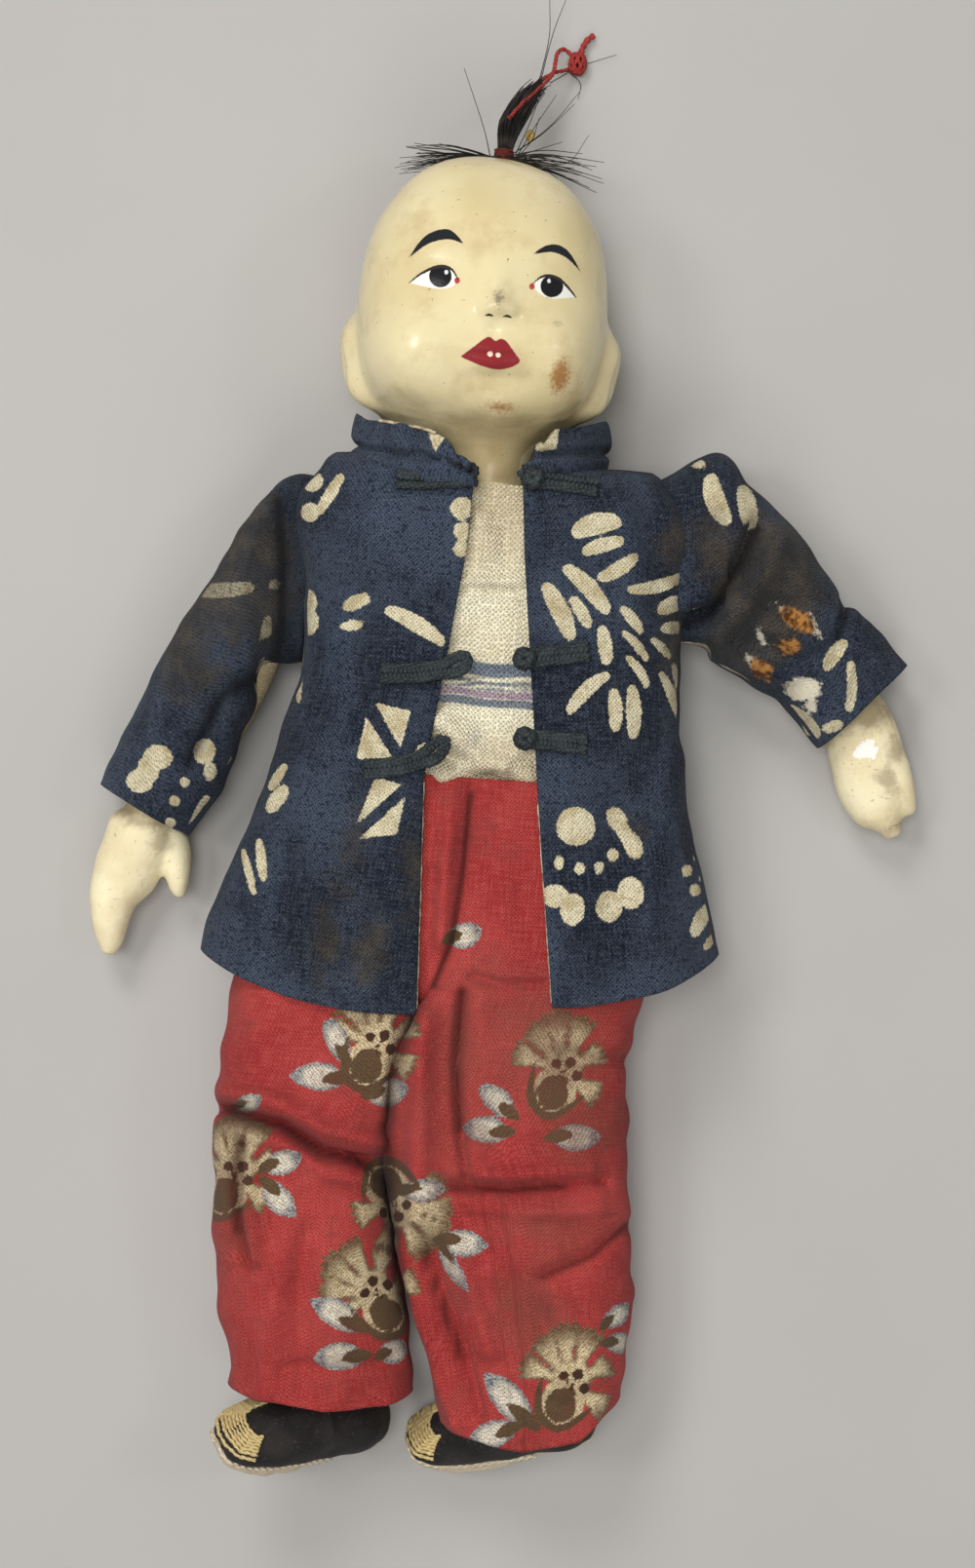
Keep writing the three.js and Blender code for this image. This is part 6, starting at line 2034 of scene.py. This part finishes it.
# Middle and half sizes of each crumb
GLUE_CRUMBS = [
    ((-4.2, 130.2, 24), (1.3, 0.8, 1)), ((-6.6, 129.6, 24.5), (0.9, 0.6, 0.8)),
    ((5.6, 138.2, 15), (0.9, 1.3, 0.8)),
]


def make_glue():
    """Crumbs of yellowed glue at the hair's roots."""
    glue = Finish("dried_glue", 0.35, 0.5)
    glue.colour(glue.mix(glue.noise(500, 3), (0.62, 0.42, 0.12), (0.40, 0.24, 0.06)))
    glue.shader.inputs["Subsurface Weight"].default_value = 0.1
    mesh = bmesh.new()
    for centre, size in GLUE_CRUMBS:
        made = bmesh.ops.create_icosphere(mesh, subdivisions=3, radius=1.0)["verts"]
        for vert in made:
            x, y, z = vert.co
            rough = 1 + 0.22 * float(wander(x * 3 + centre[0], y * 3 + z * 2, 1.6, 91))
            vert.co = [centre[k] + size[k] * rough * vert.co[k] for k in range(3)]
    piece = finish_mesh("glue_crumbs", mesh, glue.material)
    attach(piece, "head")


def wound_knot():
    """Path wound many times over an egg shape."""
    t = np.linspace(0, math.tau, 260)
    rise = 1.15 * np.sin(7 * t + 0.6)
    wound = np.column_stack([np.cos(rise) * np.cos(5 * t), np.sin(rise), np.cos(rise) * np.sin(5 * t)])
    return wound * KNOT_HALF + KNOT_CENTRE


def make_red_thread(thread):
    path = through(CORD_PATH + [(13.9, 158.9, 1.9)], shares(60))
    cord = strands("queue_red_cord", [path], [CORD_DIAMETER / 2], thread, 10, **CORD_PLIED)
    tail = through(TAIL_PATH, shares(40))
    returning = through(RETURN_PATH + [(13.8, 157, 1.6)], shares(40))
    loose = [tail + (0, 0, 0.5), returning, wound_knot()]
    knot = strands("queue_cord_knot", loose, [0.62, 0.42, 0.42], thread, 8, **PLIED)
    turns = np.linspace(0, math.tau * 4.5, 150)
    y = 130.6 + 0.58 * turns / (math.tau)
    whip = np.column_stack([0.25 + 1.75 * np.cos(turns), y, 21.8 - 0.2 * (y - 131) + 1.75 * np.sin(turns)])
    dark_thread = plied_thread("dark_red_thread", (0.17, 0.03, 0.025), (0.055, 0.012, 0.01), 0.8)
    binding = strands("queue_whipping", [whip], [0.4], dark_thread, 8, **FINE_PLIED)
    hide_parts("queue_cord")
    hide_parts("queue_knot", "queue_cord_return")
    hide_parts("queue_binding")
    for piece in (cord, knot, binding):
        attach(piece, "head")


def make_neck_tie(thread):
    turns = np.linspace(0, math.tau * 2.3, 120)
    radius = NECK_RADIUS + 1.3
    y = 64.2 + 0.25 * turns / math.pi
    ring = np.column_stack([HEAD_X + radius * np.cos(turns), y, NECK_Z + radius * np.sin(turns)])
    tie = strands("neck_tie_thread", [ring], [0.4], thread, 8, **FINE_PLIED)
    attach(tie, "trunk")
    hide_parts("neck_tie")


# Stage


def make_stage():
    table = Finish("table_top", 0.85, 0.2)
    mottle = table.noise(9, 4)
    table.colour(table.mix(mottle, (0.41, 0.394, 0.372), (0.48, 0.462, 0.436)))
    mesh = bmesh.new()
    bmesh.ops.create_grid(mesh, x_segments=1, y_segments=1, size=1500)
    bmesh.ops.translate(mesh, vec=(0, 0, -0.05), verts=mesh.verts)
    floor = finish_mesh("table", mesh, table.material, False)


def add_lamp(name, place, aim, size, power, mirrored=True):
    lamp = bpy.data.lights.new(name, "AREA")
    lamp.shape = "DISK"
    lamp.size = size
    lamp.energy = power
    made = bpy.data.objects.new(name, lamp)
    made.location = place
    made.rotation_euler = (Vector(aim) - Vector(place)).to_track_quat("-Z", "Y").to_euler()
    made.visible_glossy = mirrored
    bpy.context.scene.collection.objects.link(made)


def make_light_and_camera():
    scene = bpy.context.scene
    scene.view_settings.view_transform = "Standard"
    world = bpy.data.worlds.new("room")
    world.use_nodes = True
    air = world.node_tree.nodes["Background"].inputs
    air["Color"].default_value = (0.96, 0.98, 1.0, 1)
    air["Strength"].default_value = 0.25
    scene.world = world
    add_lamp("window", (-0.42, 0.84, 0.95), (0, 0, 0.02), 0.5, 6.3, mirrored=False)
    add_lamp("ceiling", (-0.14, 0.06, 1.4), (0, 0, 0), 0.5, 7.8, mirrored=False)
    add_lamp("wall", (0.06, -0.8, 1.0), (0, 0, 0.02), 0.6, 3.3, mirrored=False)
    add_lamp("desk", (-0.5, 0.12, 0.85), (0, 0.09, 0.04), 0.24, 1.6)
    add_lamp("bench", (0.55, 0.12, 0.8), (0, 0.09, 0.04), 0.14, 0.5)
    camera = bpy.data.cameras.new("camera")
    camera.lens = CAMERA_LENS
    camera.sensor_width = 36
    camera.clip_start = 0.01
    made = bpy.data.objects.new("camera", camera)
    made.location = Vector(CAMERA_PLACE) * MM
    made.rotation_euler = (0, 0, CAMERA_TURN)
    scene.collection.objects.link(made)
    scene.camera = made


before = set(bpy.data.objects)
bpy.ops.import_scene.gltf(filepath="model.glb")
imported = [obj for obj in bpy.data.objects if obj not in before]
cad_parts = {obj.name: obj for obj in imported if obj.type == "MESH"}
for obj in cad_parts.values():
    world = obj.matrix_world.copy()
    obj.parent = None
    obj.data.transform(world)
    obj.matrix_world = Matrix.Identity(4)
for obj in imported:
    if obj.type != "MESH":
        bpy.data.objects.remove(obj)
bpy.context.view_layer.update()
make_light_and_camera()
make_stage()
red_thread = plied_thread("red_thread", (0.46, 0.06, 0.045), (0.22, 0.022, 0.02), 0.7)
make_red_thread(red_thread)
tie_thread = plied_thread("tie_thread", (0.5, 0.42, 0.28), (0.3, 0.23, 0.14), 0.85)
make_head()
indigo = indigo_cloth()
make_jacket(indigo)
make_sleeves(indigo)
make_collar(indigo)
make_undershirt(muslin_cloth())
make_trousers(red_print_cloth())
make_frogs()
make_raw_edges()
make_hands()
make_limbs(tie_thread)
make_shoes()
make_hair()
make_glue()
make_neck_tie(tie_thread)
